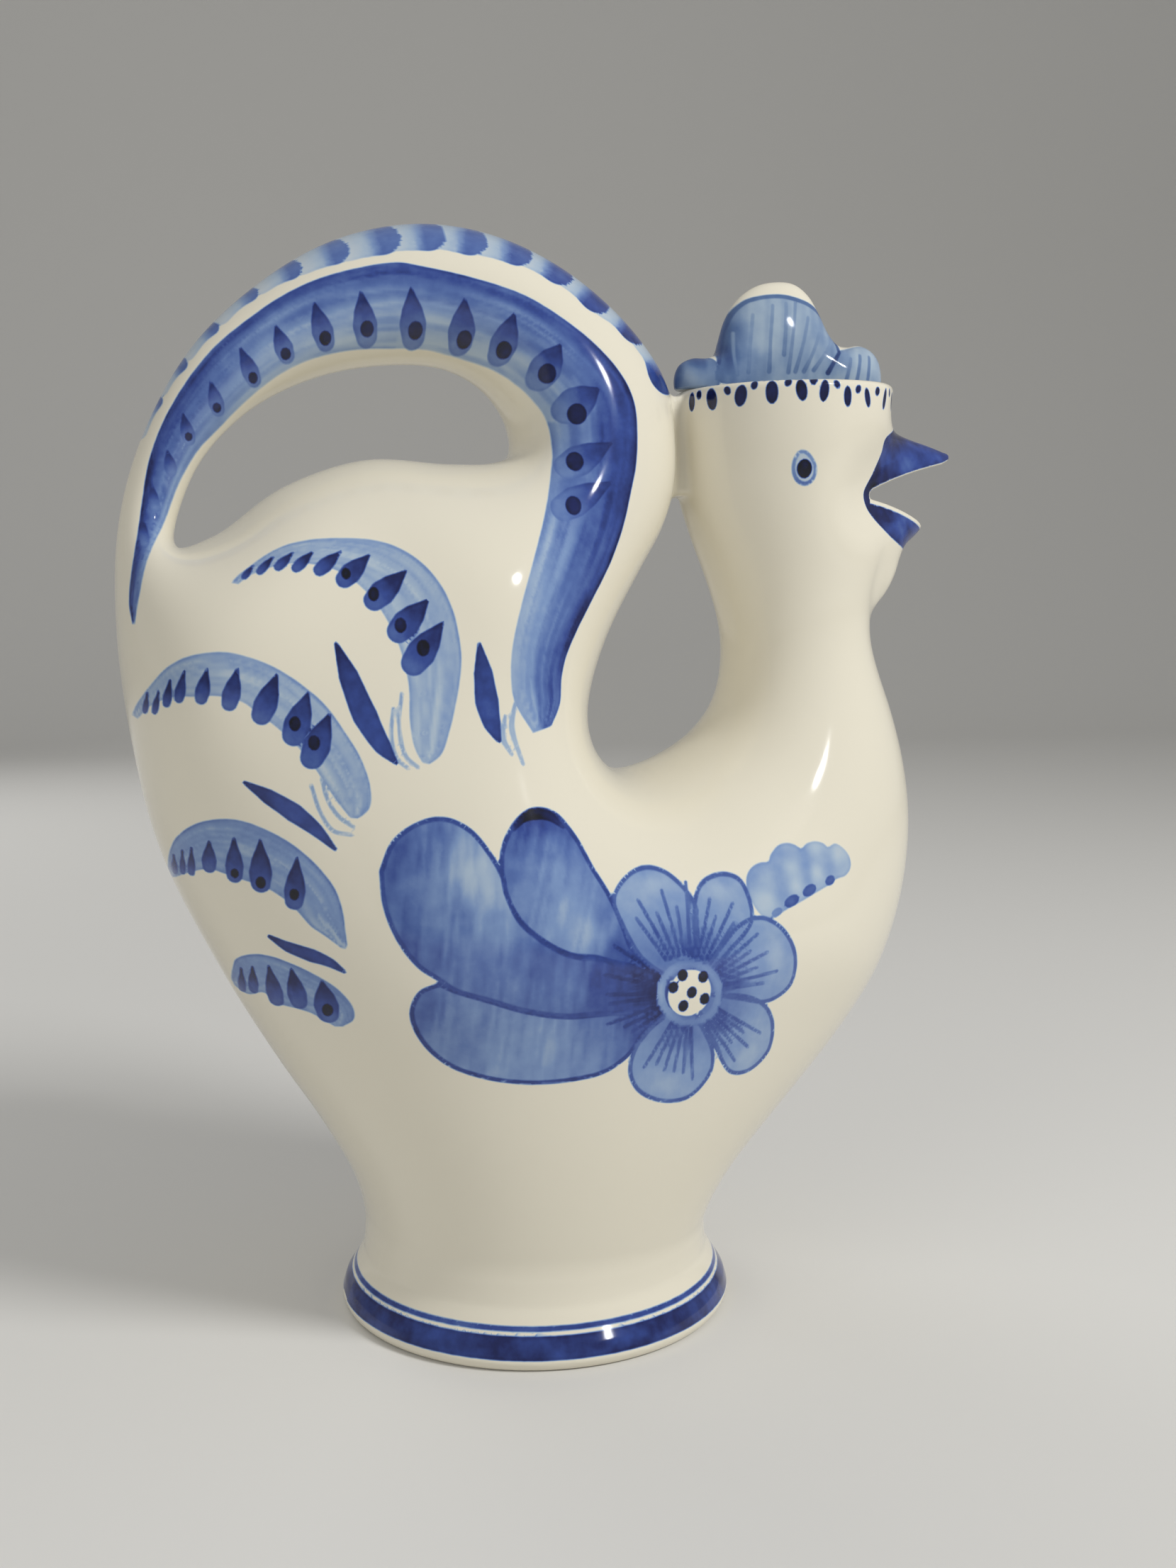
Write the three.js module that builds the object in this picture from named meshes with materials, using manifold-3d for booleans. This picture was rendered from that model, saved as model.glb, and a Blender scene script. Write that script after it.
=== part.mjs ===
import * as THREE from 'three';
import Module from 'manifold-3d';

// A rooster-shaped glazed carafe: a hollow body, a tail that arches over the back as the handle,
// an open beak as the spout and a comb that lifts out of the head as the stopper.
// Millimetres, +Z up, beak toward +X. Lengths run from the foot's centre, heights from the table.

// Foot, a turned ring up to the waist
const FOOT_RADIUS = 50.4;
const FOOT_EDGE_HEIGHT = 2.2;
const FOOT_UNDER_RADIUS = 49;
const FOOT_TOP_RADIUS = 47;
const FOOT_HEIGHT = 9;
const FOOT_RING_WIDTH = 8;
const FOOT_RECESS_DEPTH = 3;
const FLOOR_THICKNESS = 6;
const WAIST_RADIUS = 43.2;
const WAIST_HEIGHT = 19;
const WAIST_ROLL = 1.3;

// Belly: reach to the rear and to the front at each height
const LOWER_REAR = 54.6;
const LOWER_FRONT = 66.5;
const LOWER_HEIGHT = 50;
const FLANK_REAR = 74;
const FLANK_FRONT = 92;
const FLANK_HEIGHT = 82;
const BELLY_REAR = 92.6;
const BELLY_FRONT = 102.4;
const BELLY_HEIGHT = 120;

// Saddle between the back and the neck, the lap in front of the tail, and the cheek on top of the neck
const SADDLE_FRONT = 29;
const SADDLE_HEIGHT = 136.5;
const HAUNCH_FRONT = 15.5;
const HAUNCH_HEIGHT = 142;
const LAP_REAR = 99.8;
const LAP_FRONT = 11.5;
const LAP_HEIGHT = 156;
const CHEEK_HEIGHT = 208;

// The neck's levels stand at parts of its own length, from the saddle up to the cheek
const NECK_LENGTH = CHEEK_HEIGHT - SADDLE_HEIGHT;
const NECK_FLARE_PART = 9 / 71.5;
const NECK_LOW_PART = 20.5 / 71.5;
const NECK_THIN_PART = 33.5 / 71.5;
const NECK_HIGH_PART = 52.5 / 71.5;

// Neck and head: rear and front at each height, and how far each lies above the one before
const NECK_FLARE_HEIGHT = SADDLE_HEIGHT + NECK_LENGTH * NECK_FLARE_PART;
const NECK_FLARE_REAR = 45.4;
const NECK_FLARE_FRONT = 98;
const NECK_LOW_HEIGHT = SADDLE_HEIGHT + NECK_LENGTH * NECK_LOW_PART;
const NECK_LOW_REAR = 51;
const NECK_LOW_FRONT = 93.6;
const NECK_THIN_HEIGHT = SADDLE_HEIGHT + NECK_LENGTH * NECK_THIN_PART;
const NECK_THIN_REAR = 51.4;
const NECK_THIN_FRONT = 90;
const NECK_HIGH_HEIGHT = SADDLE_HEIGHT + NECK_LENGTH * NECK_HIGH_PART;
const NECK_HIGH_REAR = 45.6;
const NECK_HIGH_FRONT = 90.2;
const CHEEK_FRONT = 92.2;
const RIM_RISE = 24.5;
const RIM_HEIGHT = CHEEK_HEIGHT + RIM_RISE;
const RIM_X = 66.6;
const RIM_RADIUS = 28.8;
const CHEEK_INSET = 1.4;
const CHEEK_REAR = RIM_X - RIM_RADIUS + CHEEK_INSET;

// Top of the back under the finger hole: the tail is luted to the head, so the back goes with the cheek
const CROWN_ABOVE_CHEEK = 5;
const CROWN_HEIGHT = CHEEK_HEIGHT + CROWN_ABOVE_CHEEK;
const CROWN_REAR = 42;
const CROWN_FRONT = 20;
const CREST_DROP = 7;
const CREST_HEIGHT = CROWN_HEIGHT - CREST_DROP;
const CREST_REAR = 62;
const BACK_DROP = 11.5;
const BACK_HEIGHT = CREST_HEIGHT - BACK_DROP;
const BACK_REAR = 78;

// Half widths across the bird
const LOWER_HALF = 49;
const BELLY_HALF = 48.4;
const RUMP_HALF = 41;
const NECK_THIN_HALF = 21.5;
const CHEEK_HALF = 25.6;
const TAIL_REAR_HALF = 13.5;
const TAIL_TOP_HALF = 17.5;
const LEG_HALF = 24;
const CALF_HALF = 31;

// Walls, joints and the seat of the stopper
const WALL = 4.5;
const LUTE_GAP = 0.3;
const CUP_WALL = 3.8;
const CUP_DEPTH = 7;
const LEDGE_THICKNESS = 5;
const BORE_RADIUS = 19;
const PLUG_CLEARANCE = 0.5;
const FLANGE_THICKNESS = 4;
const PLUG_LENGTH = 16;
const PLUG_WALL = 3.5;
const HOLLOW_ROUNDING = 2;

// Tail handle: an arch between an outer and an inner curve, then a leg down to the lap
const TAIL_REAR = 101.3;
const TAIL_REAR_DROP = 6.5;
const TAIL_REAR_HEIGHT = BACK_HEIGHT - TAIL_REAR_DROP;
const TAIL_REAR_THICKNESS = 14.5;
const TAIL_CROTCH_RISE = 4;
const TAIL_TOP_X = -28;
const TAIL_TOP_THICKNESS = 33.2;
const FINGER_GAP = 23.4;
const LEG_TOP_ABOVE_CROWN = 2;
const LEG_TOP_HEIGHT = CROWN_HEIGHT + LEG_TOP_ABOVE_CROWN;
const LEG_THICKNESS = 41;
const CALF_FRONT = 26.4;
const CALF_PART = 32.5 / 59;
const CALF_HEIGHT = LAP_HEIGHT + (LEG_TOP_HEIGHT - LAP_HEIGHT) * CALF_PART;
const ANKLE_FRONT = 17.4;
const ANKLE_PART = 16 / 59;
const ANKLE_HEIGHT = LAP_HEIGHT + (LEG_TOP_HEIGHT - LAP_HEIGHT) * ANKLE_PART;
const ROOT_JOINT_SLOPE = 0.6;
const LEG_JOINT_SLOPE = -0.49;
const JOINT_ABOVE_CROWN = 1;

// Bridge between the tail and the back of the head
const BRIDGE_LENGTH = 3.2;
const BRIDGE_BELOW_CHEEK = 2;
const BRIDGE_LOW_HEIGHT = CHEEK_HEIGHT - BRIDGE_BELOW_CHEEK;
const BRIDGE_BELOW_RIM = 2.5;
const BRIDGE_THICKNESS = 9;

// Beak: tips, mouth and walls
const MOUTH_BELOW_CHEEK = 1;
const MOUTH_HEIGHT = CHEEK_HEIGHT - MOUTH_BELOW_CHEEK;
const BEAK_TIP_X = 113.8;
const BEAK_TIP_RISE = 10;
const BEAK_TIP_HEIGHT = MOUTH_HEIGHT + BEAK_TIP_RISE;
const BEAK_TOP_BELOW_RIM = 1.5;
const BEAK_TOP_HEIGHT = RIM_HEIGHT - BEAK_TOP_BELOW_RIM;
const BEAK_HALF = 14.5;
const BEAK_WALL = 2.8;
const BEAK_TIP_EDGE = 0.7;
const MOUTH_SPLIT = 1.4;
const JAW_TIP_X = 106.4;
const JAW_TIP_DROP = 7.4;
const JAW_TIP_HEIGHT = MOUTH_HEIGHT - JAW_TIP_DROP;
const JAW_UNDER_DROP = 13.6;
const JAW_UNDER_HEIGHT = MOUTH_HEIGHT - JAW_UNDER_DROP;
const JAW_HALF = 13;
const JAW_TIP_HALF = 3.4;
const JAW_LIP_BEND = 1.5;
const JAW_UNDER_BEND = 3;
const POUR_HALF_WIDTH = 6.5;
const POUR_HALF_HEIGHT = 5;

// Wattle under the beak
const WATTLE_TOP_DROP = 4;
const WATTLE_TOP_HEIGHT = MOUTH_HEIGHT - WATTLE_TOP_DROP;
const WATTLE_REACH = 99.6;
const WATTLE_HALF = 9.6;
const WATTLE_DROP = 12;
const WATTLE_HEIGHT = WATTLE_TOP_HEIGHT - WATTLE_DROP;
const WATTLE_LOW_REACH = 95.4;
const WATTLE_LOW_HALF = 8.2;
const WATTLE_LOW_DROP = 11;
const WATTLE_LOW_HEIGHT = WATTLE_HEIGHT - WATTLE_LOW_DROP;
const WATTLE_END_DROP = 11;
const WATTLE_END_HEIGHT = WATTLE_LOW_HEIGHT - WATTLE_END_DROP;

// Comb: three round lobes of one slab, given by radius, place and height of the middle above the rim
const COMB_THICKNESS = 12;
const COMB_EDGE = 4.5;
const COMB_REAR_RADIUS = 6.6;
const COMB_REAR_X = 43;
const COMB_REAR_RISE = 2.1;
const COMB_REAR_HEIGHT = RIM_HEIGHT + COMB_REAR_RISE;
const COMB_MIDDLE_RADIUS = 15.4;
const COMB_MIDDLE_X = 64.2;
const COMB_MIDDLE_RISE = 12.3;
const COMB_MIDDLE_HEIGHT = RIM_HEIGHT + COMB_MIDDLE_RISE;
const COMB_FRONT_RADIUS = 7.6;
const COMB_FRONT_X = 86.2;
const COMB_FRONT_RISE = 5.5;
const COMB_FRONT_HEIGHT = RIM_HEIGHT + COMB_FRONT_RISE;
const COMB_TONGUE_LENGTH = 38;

// The foot's centre lies this far behind the middle of the overall length
const FOOT_SETBACK = 6.2;

// Fineness of the surfaces
const OUTLINE_STEPS = 420;
const SKIN_CELL = 7;
const TAIL_CELL = 4.6;
const HOLLOW_CELL = 13;
const SETTLE_PASSES = 2;
const SWELL_STEP = 2.4;
const SWELL_PRESSURE = 2;
const SWELL_PASSES = 500;
const SWELL_OVERSHOOT = 1.9;
const SHORTEST_ARM = 0.05;
const OPEN_END = 40;
const WIDTH_REACH = 30;
const FAR_WEIGHT = 1e-6;
const MERGE_GRAIN = 1e-4;
const RIB_POINTS = 24;
const LOFT_ROWS = 3;
const ROUND_POINTS = 48;
const CUT_REACH = 400;

const wasm = await Module();
wasm.setup();

function signedVolume(points, triangles) {
  let sum = 0;
  for (let i = 0; i < triangles.length; i += 3) {
    const a = points[triangles[i]];
    const b = points[triangles[i + 1]];
    const c = points[triangles[i + 2]];
    sum += a.dot(b.clone().cross(c)) / 6;
  }
  return sum;
}

// A solid for joining and cutting, with its faces turned outward
function solid(points, triangles) {
  const outward = signedVolume(points, triangles) > 0 ? triangles : triangles.slice().reverse();
  return new wasm.Manifold(new wasm.Mesh({
    numProp: 3,
    vertProperties: new Float32Array(points.flatMap((p) => [p.x, p.y, p.z])),
    triVerts: new Uint32Array(outward),
  }));
}

// The solid of a three.js geometry: corners at one place become one point
function solidOf(geometry) {
  const position = geometry.getAttribute('position');
  const listed = [...Array(position.count).keys()];
  const order = geometry.index ? Array.from(geometry.index.array) : listed;
  const points = [];
  const placeOf = new Map();
  const pointAt = (i) => {
    const point = new THREE.Vector3().fromBufferAttribute(position, i);
    const key = point.toArray().map((value) => Math.round(value / MERGE_GRAIN)).join();
    if (!placeOf.has(key)) {
      placeOf.set(key, points.length);
      points.push(point);
    }
    return placeOf.get(key);
  };
  const triangles = [];
  for (let i = 0; i < order.length; i += 3) {
    const corners = [pointAt(order[i]), pointAt(order[i + 1]), pointAt(order[i + 2])];
    if (new Set(corners).size === 3) {
      triangles.push(...corners);
    }
  }
  return solid(points, triangles);
}

function level(rearX, frontX, height, half) {
  return { rear: [rearX, height], front: [frontX, height], half };
}

function upright(x, low, high, half) {
  return { rear: [x, low], front: [x, high], half };
}

// One closed rib: an ellipse across the plane of the bird, between a rear and a front point
function rib(rear, front, half, grow) {
  const along = new THREE.Vector3(front.x - rear.x, 0, front.z - rear.z);
  const reach = along.length() / 2 + grow;
  const middle = new THREE.Vector3((rear.x + front.x) / 2, 0, (rear.z + front.z) / 2);
  along.normalize();
  const points = [];
  for (let i = 0; i < RIB_POINTS; i += 1) {
    const angle = (2 * Math.PI * i) / RIB_POINTS;
    const point = middle.clone().addScaledVector(along, reach * Math.cos(angle));
    point.y = (half + grow) * Math.sin(angle);
    points.push(point);
  }
  return points;
}

// Closed skin over equal rings, with a fan over the first and the last ring
function skin(rings) {
  const count = rings[0].length;
  const points = rings.flat();
  const triangles = [];
  for (let row = 0; row + 1 < rings.length; row += 1) {
    for (let i = 0; i < count; i += 1) {
      const next = (i + 1) % count;
      const a = row * count + i;
      const b = row * count + next;
      triangles.push(a, b, b + count, a, b + count, a + count);
    }
  }
  const last = (rings.length - 1) * count;
  const caps = [
    { start: 0, middle: points.length, flip: true },
    { start: last, middle: points.length + 1, flip: false },
  ];
  for (const cap of caps) {
    const middle = new THREE.Vector3();
    for (let i = 0; i < count; i += 1) {
      middle.addScaledVector(points[cap.start + i], 1 / count);
    }
    points.push(middle);
    for (let i = 0; i < count; i += 1) {
      const a = cap.start + i;
      const b = cap.start + ((i + 1) % count);
      if (cap.flip) {
        triangles.push(b, a, cap.middle);
      } else {
        triangles.push(a, b, cap.middle);
      }
    }
  }
  return solid(points, triangles);
}

// Smooth body through stations, grown evenly across its ribs
function loft(stations, grow = 0) {
  const curveOf = (side) => new THREE.CatmullRomCurve3(
    stations.map((s) => new THREE.Vector3(s[side][0], s.half, s[side][1])), false, 'centripetal');
  const rear = curveOf('rear');
  const front = curveOf('front');
  const total = Math.round((stations.length - 1) * LOFT_ROWS);
  const rings = [];
  for (let row = 0; row <= total; row += 1) {
    const rearPoint = rear.getPoint(row / total);
    rings.push(rib(rearPoint, front.getPoint(row / total), rearPoint.y, grow));
  }
  return skin(rings);
}

// Smooth closed curve through points of the plane of the bird
function smoothLoop(corners) {
  const curve = new THREE.CatmullRomCurve3(
    corners.map(([x, z]) => new THREE.Vector3(x, 0, z)), true, 'centripetal');
  return curve.getSpacedPoints(OUTLINE_STEPS).map((point) => [point.x, point.z]);
}

// Distance to the nearest loop, positive inside the outer loop and outside the holes
function depthIn(loops, x, z) {
  let nearest = Infinity;
  let inside = false;
  for (const loop of loops) {
    for (let i = 0; i + 1 < loop.length; i += 1) {
      const [ax, az] = loop[i];
      const [bx, bz] = loop[i + 1];
      const share = THREE.MathUtils.clamp(
        ((x - ax) * (bx - ax) + (z - az) * (bz - az)) / ((bx - ax) ** 2 + (bz - az) ** 2), 0, 1);
      nearest = Math.min(nearest, Math.hypot(x - ax - share * (bx - ax), z - az - share * (bz - az)));
      if ((az > z) !== (bz > z) && x < ax + ((z - az) / (bz - az)) * (bx - ax)) {
        inside = !inside;
      }
    }
  }
  return inside ? nearest : -nearest;
}

// Swelling of an outline, as a film over it bulges under even pressure: its height is zero on the
// outline, and its square root is the round half width of a limb of that thickness
function swelling(loops) {
  const xs = loops.flat().map((point) => point[0]);
  const zs = loops.flat().map((point) => point[1]);
  const lowX = Math.min(...xs) - 2 * SWELL_STEP;
  const lowZ = Math.min(...zs) - 2 * SWELL_STEP;
  const columns = Math.ceil((Math.max(...xs) - lowX) / SWELL_STEP) + 3;
  const rows = Math.ceil((Math.max(...zs) - lowZ) / SWELL_STEP) + 3;
  const depth = new Float64Array(columns * rows);
  const height = new Float64Array(columns * rows);
  for (let row = 0; row < rows; row += 1) {
    for (let column = 0; column < columns; column += 1) {
      const x = lowX + column * SWELL_STEP;
      const z = lowZ + row * SWELL_STEP;
      depth[row * columns + column] = depthIn(loops, x, z);
    }
  }
  // Arms of each inner point: a full step, or the part of it that lies inside
  const inner = [];
  const armOf = (at, next) => {
    const share = depth[at] / (depth[at] - depth[next]);
    return depth[next] > 0 ? 1 : Math.max(share, SHORTEST_ARM);
  };
  for (let at = columns; at < columns * (rows - 1); at += 1) {
    if (depth[at] > 0) {
      const nextTo = [at - 1, at + 1, at - columns, at + columns];
      inner.push([at, ...nextTo.map((next) => armOf(at, next))]);
    }
  }
  for (let pass = 0; pass < SWELL_PASSES; pass += 1) {
    for (const [at, west, east, south, north] of inner) {
      const pull = 2 / (west * east) + 2 / (south * north);
      const around = 2 * (
        (west === 1 ? height[at - 1] : 0) / (west * (west + east))
        + (east === 1 ? height[at + 1] : 0) / (east * (west + east))
        + (south === 1 ? height[at - columns] : 0) / (south * (south + north))
        + (north === 1 ? height[at + columns] : 0) / (north * (south + north)));
      const settled = (around + SWELL_PRESSURE * SWELL_STEP ** 2) / pull;
      height[at] += SWELL_OVERSHOOT * (settled - height[at]);
    }
  }
  // Beyond the outline the film goes on downward with the slope that it has inside
  const slopes = new Map();
  for (const [at] of inner) {
    for (const next of [at - 1, at + 1, at - columns, at + columns]) {
      if (depth[next] <= 0) {
        slopes.set(next, [...(slopes.get(next) ?? []), height[at] / depth[at]]);
      }
    }
  }
  for (let at = 0; at < depth.length; at += 1) {
    if (depth[at] <= 0) {
      const found = slopes.get(at) ?? [RIM_RADIUS];
      height[at] = depth[at] * (found.reduce((sum, slope) => sum + slope, 0) / found.length);
    }
  }
  return (x, z) => {
    const column = THREE.MathUtils.clamp((x - lowX) / SWELL_STEP, 0, columns - 1 - MERGE_GRAIN);
    const row = THREE.MathUtils.clamp((z - lowZ) / SWELL_STEP, 0, rows - 1 - MERGE_GRAIN);
    const at = Math.floor(row) * columns + Math.floor(column);
    const right = column % 1;
    const up = row % 1;
    return (1 - up) * ((1 - right) * height[at] + right * height[at + 1])
      + up * ((1 - right) * height[at + columns] + right * height[at + columns + 1]);
  };
}

// How much wider than round the bird is at a place: a soft mix of the half widths that are set
function widening(film, widths) {
  const shares = widths.map(([x, z, half]) => half ** 2 / film(x, z));
  return (x, z) => {
    let sum = 0;
    let weights = 0;
    widths.forEach(([atX, atZ], i) => {
      const weight = Math.exp(-((x - atX) ** 2 + (z - atZ) ** 2) / WIDTH_REACH ** 2) + FAR_WEIGHT;
      sum += weight * shares[i];
      weights += weight;
    });
    return sum / weights;
  };
}

// Moves a point along the slope of a field, by one reach at most, to where the field is zero
function settle(field, point, reach) {
  const slope = new THREE.Vector3();
  for (const axis of ['x', 'y', 'z']) {
    const ahead = point.clone();
    const behind = point.clone();
    ahead[axis] += reach;
    behind[axis] -= reach;
    slope[axis] = (field(...ahead) - field(...behind)) / (2 * reach);
  }
  const step = slope.multiplyScalar(-field(...point) / slope.lengthSq());
  point.add(step.clampLength(0, reach));
}

// Closed skin where a field crosses zero, with one point in each cell that the skin passes
function skinOf(field, low, high, cell) {
  const counts = [0, 1, 2].map((axis) => Math.ceil((high[axis] - low[axis]) / cell) + 1);
  const strides = [1, counts[0], counts[0] * counts[1]];
  const placeOf = (grid) => low.map((start, axis) => start + grid[axis] * cell);
  const values = new Float64Array(counts[0] * counts[1] * counts[2]);
  const gridOf = (at) => [
    at % counts[0], Math.floor(at / counts[0]) % counts[1], Math.floor(at / strides[2])];
  for (let at = 0; at < values.length; at += 1) {
    values[at] = field(...placeOf(gridOf(at)));
  }
  const corners = [0, 1, 2, 3, 4, 5, 6, 7].map((bits) => [bits & 1, (bits >> 1) & 1, bits >> 2]);
  const edges = [];
  for (let a = 0; a < 8; a += 1) {
    for (const bit of [1, 2, 4]) {
      if ((a & bit) === 0) {
        edges.push([a, a | bit]);
      }
    }
  }
  const offsets = corners.map((corner) => corner[0] + corner[1] * strides[1] + corner[2] * strides[2]);
  const pointIn = new Map();
  const points = [];
  for (let at = 0; at < values.length; at += 1) {
    const grid = gridOf(at);
    if (grid.some((index, axis) => index + 1 >= counts[axis])) {
      continue;
    }
    const sum = new THREE.Vector3();
    let crossings = 0;
    for (const [a, b] of edges) {
      const before = values[at + offsets[a]];
      const after = values[at + offsets[b]];
      if ((before > 0) !== (after > 0)) {
        const start = new THREE.Vector3(...placeOf(grid.map((index, axis) => index + corners[a][axis])));
        const end = new THREE.Vector3(...placeOf(grid.map((index, axis) => index + corners[b][axis])));
        sum.add(start.lerp(end, before / (before - after)));
        crossings += 1;
      }
    }
    if (crossings > 0) {
      pointIn.set(at, points.length);
      points.push(sum.divideScalar(crossings));
    }
  }
  const triangles = [];
  for (let at = 0; at < values.length; at += 1) {
    const grid = gridOf(at);
    for (let axis = 0; axis < 3; axis += 1) {
      const side = strides[(axis + 1) % 3];
      const rise = strides[(axis + 2) % 3];
      const next = at + strides[axis];
      const first = grid[(axis + 1) % 3] === 0 || grid[(axis + 2) % 3] === 0;
      if (first || grid[axis] + 1 >= counts[axis] || (values[at] > 0) === (values[next] > 0)) {
        continue;
      }
      const ring = [at, at - side, at - side - rise, at - rise].map((cellAt) => pointIn.get(cellAt));
      const turned = values[at] > 0 ? ring : ring.reverse();
      triangles.push(turned[0], turned[1], turned[2], turned[0], turned[2], turned[3]);
    }
  }
  for (let pass = 0; pass < SETTLE_PASSES; pass += 1) {
    points.forEach((point) => settle(field, point, cell / 4));
  }
  return solid(points, triangles);
}

// Upright round solid between two heights
function drum(x, radius, low, high) {
  const geometry = new THREE.CylinderGeometry(radius, radius, high - low, ROUND_POINTS);
  geometry.rotateX(Math.PI / 2);
  geometry.translate(x, 0, (low + high) / 2);
  return solidOf(geometry);
}

// Large block below a plane that crosses the plane of the bird in a line of the given slope
function below(x, z, slope) {
  const geometry = new THREE.BoxGeometry(2 * CUT_REACH, CUT_REACH, CUT_REACH);
  geometry.translate(0, 0, -CUT_REACH / 2);
  geometry.rotateY(-Math.atan(slope));
  geometry.translate(x, 0, z);
  return solidOf(geometry);
}

// Large block in front of an upright plane across the bird
function inFront(x) {
  const geometry = new THREE.BoxGeometry(CUT_REACH, CUT_REACH, 4 * CUT_REACH);
  geometry.translate(x + CUT_REACH / 2, 0, 0);
  return solidOf(geometry);
}

// Arch of the tail: a quarter ellipse up to its top and one down to the leg
const legFront = CHEEK_REAR - BRIDGE_LENGTH;
const legRear = legFront - LEG_THICKNESS;
const archUnder = CROWN_HEIGHT + FINGER_GAP;
const archTop = archUnder + TAIL_TOP_THICKNESS;
const crotchX = -TAIL_REAR + TAIL_REAR_THICKNESS;
const crotchHeight = TAIL_REAR_HEIGHT + TAIL_CROTCH_RISE;

function archPoints(top, rearX, rearLow, frontX, frontLow) {
  const quarterSteps = 4;
  const points = [];
  for (let step = 0; step <= 2 * quarterSteps; step += 1) {
    const angle = (Math.PI / 2) * (step / quarterSteps);
    const [end, low] = step < quarterSteps ? [rearX, rearLow] : [frontX, frontLow];
    const reach = (end - TAIL_TOP_X) * Math.abs(Math.cos(angle));
    points.push([TAIL_TOP_X + reach, low + (top - low) * Math.sin(angle)]);
  }
  return points;
}

// Outline of the bird from the foot up the rear, over the tail and the neck, and down the chest.
// It runs on below the foot and above the rim, where it is cut level.
const rearCorners = [
  [-WAIST_RADIUS + WALL, -OPEN_END],
  [-WAIST_RADIUS, WAIST_HEIGHT],
  [-LOWER_REAR, LOWER_HEIGHT],
  [-FLANK_REAR, FLANK_HEIGHT],
  [-BELLY_REAR, BELLY_HEIGHT],
  [-LAP_REAR, LAP_HEIGHT],
];
const frontCorners = [
  [LAP_FRONT, LAP_HEIGHT],
  [HAUNCH_FRONT, HAUNCH_HEIGHT],
  [SADDLE_FRONT, SADDLE_HEIGHT],
  [NECK_FLARE_REAR, NECK_FLARE_HEIGHT],
  [NECK_LOW_REAR, NECK_LOW_HEIGHT],
  [NECK_THIN_REAR, NECK_THIN_HEIGHT],
  [NECK_HIGH_REAR, NECK_HIGH_HEIGHT],
  [CHEEK_REAR, CHEEK_HEIGHT],
  [RIM_X - RIM_RADIUS, RIM_HEIGHT],
  [RIM_X - RIM_RADIUS + WALL, RIM_HEIGHT + OPEN_END],
  [RIM_X + RIM_RADIUS - WALL, RIM_HEIGHT + OPEN_END],
  [RIM_X + RIM_RADIUS, RIM_HEIGHT],
  [CHEEK_FRONT, CHEEK_HEIGHT],
  [NECK_HIGH_FRONT, NECK_HIGH_HEIGHT],
  [NECK_THIN_FRONT, NECK_THIN_HEIGHT],
  [NECK_LOW_FRONT, NECK_LOW_HEIGHT],
  [NECK_FLARE_FRONT, NECK_FLARE_HEIGHT],
  [BELLY_FRONT, BELLY_HEIGHT],
  [FLANK_FRONT, FLANK_HEIGHT],
  [LOWER_FRONT, LOWER_HEIGHT],
  [WAIST_RADIUS, WAIST_HEIGHT],
  [WAIST_RADIUS - WALL, -OPEN_END],
];
const birdLoop = smoothLoop([
  ...rearCorners,
  ...archPoints(archTop, -TAIL_REAR, TAIL_REAR_HEIGHT, legFront, LEG_TOP_HEIGHT),
  [CALF_FRONT, CALF_HEIGHT],
  [ANKLE_FRONT, ANKLE_HEIGHT],
  ...frontCorners,
]);
const fingerLoop = smoothLoop([
  ...archPoints(archUnder, crotchX, crotchHeight, legRear, LEG_TOP_HEIGHT),
  [-CROWN_FRONT, CROWN_HEIGHT],
  [-CROWN_REAR, CROWN_HEIGHT],
  [-CREST_REAR, CREST_HEIGHT],
  [-BACK_REAR, BACK_HEIGHT],
]);
const birdFilm = swelling([birdLoop, fingerLoop]);
const birdWidth = widening(birdFilm, [
  [0, WAIST_HEIGHT, WAIST_RADIUS],
  [(LOWER_FRONT - LOWER_REAR) / 2, LOWER_HEIGHT, LOWER_HALF],
  [(BELLY_FRONT - BELLY_REAR) / 2, BELLY_HEIGHT, BELLY_HALF],
  [(LAP_FRONT - LAP_REAR) / 2, LAP_HEIGHT, RUMP_HALF],
  [(NECK_THIN_REAR + NECK_THIN_FRONT) / 2, NECK_THIN_HEIGHT, NECK_THIN_HALF],
  [(CHEEK_REAR + CHEEK_FRONT) / 2, CHEEK_HEIGHT, CHEEK_HALF],
  [RIM_X, RIM_HEIGHT, RIM_RADIUS],
  [(crotchX - TAIL_REAR) / 2, (crotchHeight + TAIL_REAR_HEIGHT) / 2, TAIL_REAR_HALF],
  [TAIL_TOP_X, (archUnder + archTop) / 2, TAIL_TOP_HALF],
  [(legFront + legRear) / 2, LEG_TOP_HEIGHT, LEG_HALF],
  [CALF_FRONT - LEG_THICKNESS / 2, CALF_HEIGHT, CALF_HALF],
]);
const birdSquare = (x, z) => birdFilm(x, z) * birdWidth(x, z);

// The tail is luted on at two flat joints that meet in the finger hole, and stands clear of the head
const rootX = (crotchX - TAIL_REAR) / 2;
const rootHeight = TAIL_REAR_HEIGHT + TAIL_CROTCH_RISE / 2;
const legJointHeight = CROWN_HEIGHT + JOINT_ABOVE_CROWN;
const clearX = legFront + BRIDGE_LENGTH / 2;
const underJoints = (x, z) => Math.min(
  rootHeight + ROOT_JOINT_SLOPE * (x - rootX) - z, legJointHeight + LEG_JOINT_SLOPE * (x - legRear) - z);

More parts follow.
